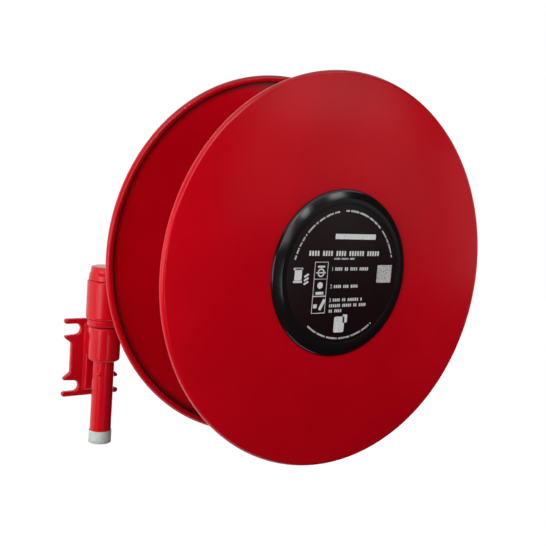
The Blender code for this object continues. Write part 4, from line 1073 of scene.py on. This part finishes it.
def make_floor():
    """A pale floor far below the reel, which keeps its shadow."""
    mesh = bmesh.new()
    bmesh.ops.create_grid(mesh, x_segments=1, y_segments=1, size=9,
                          matrix=Matrix.Translation((0, 0, FLOOR_Z)))
    floor = built("floor", mesh)
    pale = Finish("pale_floor")
    pale.set(Base_Color=pale.mix(pale.noise(3, 2), (0.80, 0.80, 0.80), (0.76, 0.76, 0.76)),
             Roughness=0.9)
    glow = pale.node("ShaderNodeEmission", None, {"Color": (1, 1, 1, 1), "Strength": FLOOR_GLOW})
    mixed = pale.node("ShaderNodeMixShader", None, {
        0: rays_that_show(pale) * FLOOR_GLOW_SHARE,
        1: Socket(pale, pale.shader.outputs[0]),
        2: glow})
    output = pale.tree.nodes["Material Output"]
    pale.tree.links.new(mixed.output, output.inputs["Surface"])
    floor.data.materials.append(pale.material)


def stand(turn, rise, distance, target):
    """A place on a studio stand that faces the target: turn is its bearing from
    straight in front, negative to the left."""
    turn, rise = radians(turn), radians(rise)
    away = Vector((sin(turn) * cos(rise), -cos(turn) * cos(rise), sin(rise)))
    facing = away.to_track_quat("Z", "Y").to_matrix().to_4x4()
    return Matrix.Translation(target + away * distance) @ facing


def lamp(name, turn, rise, distance, width, height, power, target, mirrored=True, lights=True):
    """A softbox, which the gloss mirrors or not, and which lights the room or not."""
    data = bpy.data.lights.new(name, "AREA")
    data.shape = "RECTANGLE"
    data.size, data.size_y = width, height
    data.energy = power
    light = placed(name, data)
    light.matrix_world = stand(turn, rise, distance, target)
    light.visible_glossy = mirrored
    light.visible_diffuse = lights
    light.visible_camera = False


def make_curtain():
    """The dark half of the studio: a black cloth on the floor before the reel and up
    behind the camera. The gloss mirrors it; the camera doesn't see it."""
    mesh = bmesh.new()
    low = FLOOR_Z + CLOTH_RISE
    points = [mesh.verts.new((0, -reach, height)) for reach, height in (
        (CLOTH_START, low), (CURTAIN_R, low), (CURTAIN_R, CURTAIN_TOP))]
    edges = [mesh.edges.new(pair) for pair in zip(points, points[1:])]
    bmesh.ops.rotate(mesh, verts=points, cent=(0, 0, 0),
                     matrix=Matrix.Rotation(CURTAIN_LEFT, 3, "Z"))
    bmesh.ops.spin(mesh, geom=points + edges, cent=(0, 0, 0), axis=(0, 0, 1),
                   angle=CURTAIN_RIGHT - CURTAIN_LEFT, steps=24, use_duplicate=False)
    settle(mesh)
    moved(mesh, Matrix.Translation((HUB_X, FRONT_LOW.y, 0)))
    curtain = built("black_curtain", mesh)
    cloth = Finish("black_cloth")
    curtain.data.materials.append(cloth.set(Base_Color=(0.004, 0.004, 0.004), Roughness=1.0,
                                            Specular_IOR_Level=0.0))
    curtain.visible_camera = False
    curtain.visible_shadow = False
    curtain.visible_diffuse = False


def make_lamps():
    """Soft boxes that light the paint from all round, most from the left, and then
    strips, sheets and dim panels for its gloss to mirror."""
    reel = Vector((HUB_X * 0.6, FRONT_LOW.y, HUB_Z))
    cover = Vector((HUB_X, FRONT_LOW.y, HUB_Z))
    pivot = Vector((PIVOT_X, PIVOT_Y, 0.05))
    # name, bearing, rise, distance, width, height, watts, target
    lamp("near_box", -50, 13, 0.85, 0.4, 0.4, 4.1, reel, mirrored=False)
    lamp("key_box", -60, 26, 1.2, 0.45, 0.45, 2.6, reel, mirrored=False)
    lamp("high_box", 22, 34, 1.0, 0.45, 0.45, 2.1, cover, mirrored=False)
    lamp("right_box", 77, 6, 0.95, 0.4, 0.4, 3.9, reel, mirrored=False)
    lamp("low_box", -75, 0, 1.5, 0.5, 0.5, 6.5, pivot, mirrored=False)
    lamp("side_box", -100, 20, 1.5, 0.5, 0.5, 12.0, pivot, mirrored=False)
    lamp("back_box", 165, 30, 1.7, 0.6, 0.6, 9.0, reel, mirrored=False)
    lamp("back_right_box", 125, 5, 1.7, 0.6, 0.6, 7.0, reel, mirrored=False)
    lamp("left_strip", -62, -6, 2.3, 0.15, 0.9, 2.2, pivot)
    lamp("left_sheet", -66, 3, 2.2, 1.5, 1.1, 9.5, pivot)
    lamp("high_sheet", -20, 34, 1.9, 0.9, 1.5, 11.0, cover, lights=False)
    lamp("front_strip", 2, -6, 2.3, 0.10, 0.6, 2.0, pivot)
    lamp("top_panel", 36.6, 16.6, 1.63, 0.50, 0.27, 0.34, cover)
    lamp("wide_panel", 35.9, 4.8, 1.57, 0.67, 0.36, 0.17, cover)
    lamp("tall_panel", 43.2, 3.7, 1.65, 0.26, 0.59, 0.07, cover)
    lamp("side_panel", 51.5, -4.8, 1.77, 0.24, 0.95, 0.02, cover)
    lamp("right_spot", 36, 39, 1.6, 0.30, 0.16, 0.8, cover)
    lamp("top_spot", 4, 33, 1.6, 0.16, 0.22, 0.9, cover)


def make_camera():
    """The camera, placed from the front rim's centre."""
    turn, rise, roll = CAMERA_TURN, CAMERA_RISE, CAMERA_ROLL
    back = Vector((sin(turn) * cos(rise), -cos(turn) * cos(rise), sin(rise)))
    level = Vector((cos(turn), sin(turn), 0))
    upright = back.cross(level)
    right = cos(roll) * level + sin(roll) * upright
    up = cos(roll) * upright - sin(roll) * level
    data = bpy.data.cameras.new("camera")
    data.sensor_width = SENSOR
    data.lens = CAMERA_LENS
    camera = placed("camera", data)
    rim_centre = Vector((HUB_X, FRONT_LOW.y + RIM_R, HUB_Z))
    place = Matrix((right, up, back)).transposed().to_4x4()
    place.translation = rim_centre + Vector(CAMERA_PLACE) * DISC_R
    camera.matrix_world = place
    bpy.context.scene.camera = camera


make_bracket()
make_pipe()
make_swivel()
make_arm()
make_spindle()
make_discs()
make_hub()
make_tail()
make_cover()
make_print()
dress_kept_nodes()
make_world()
make_floor()
make_curtain()
make_lamps()
make_camera()
bpy.context.scene.view_settings.view_transform = "Standard"
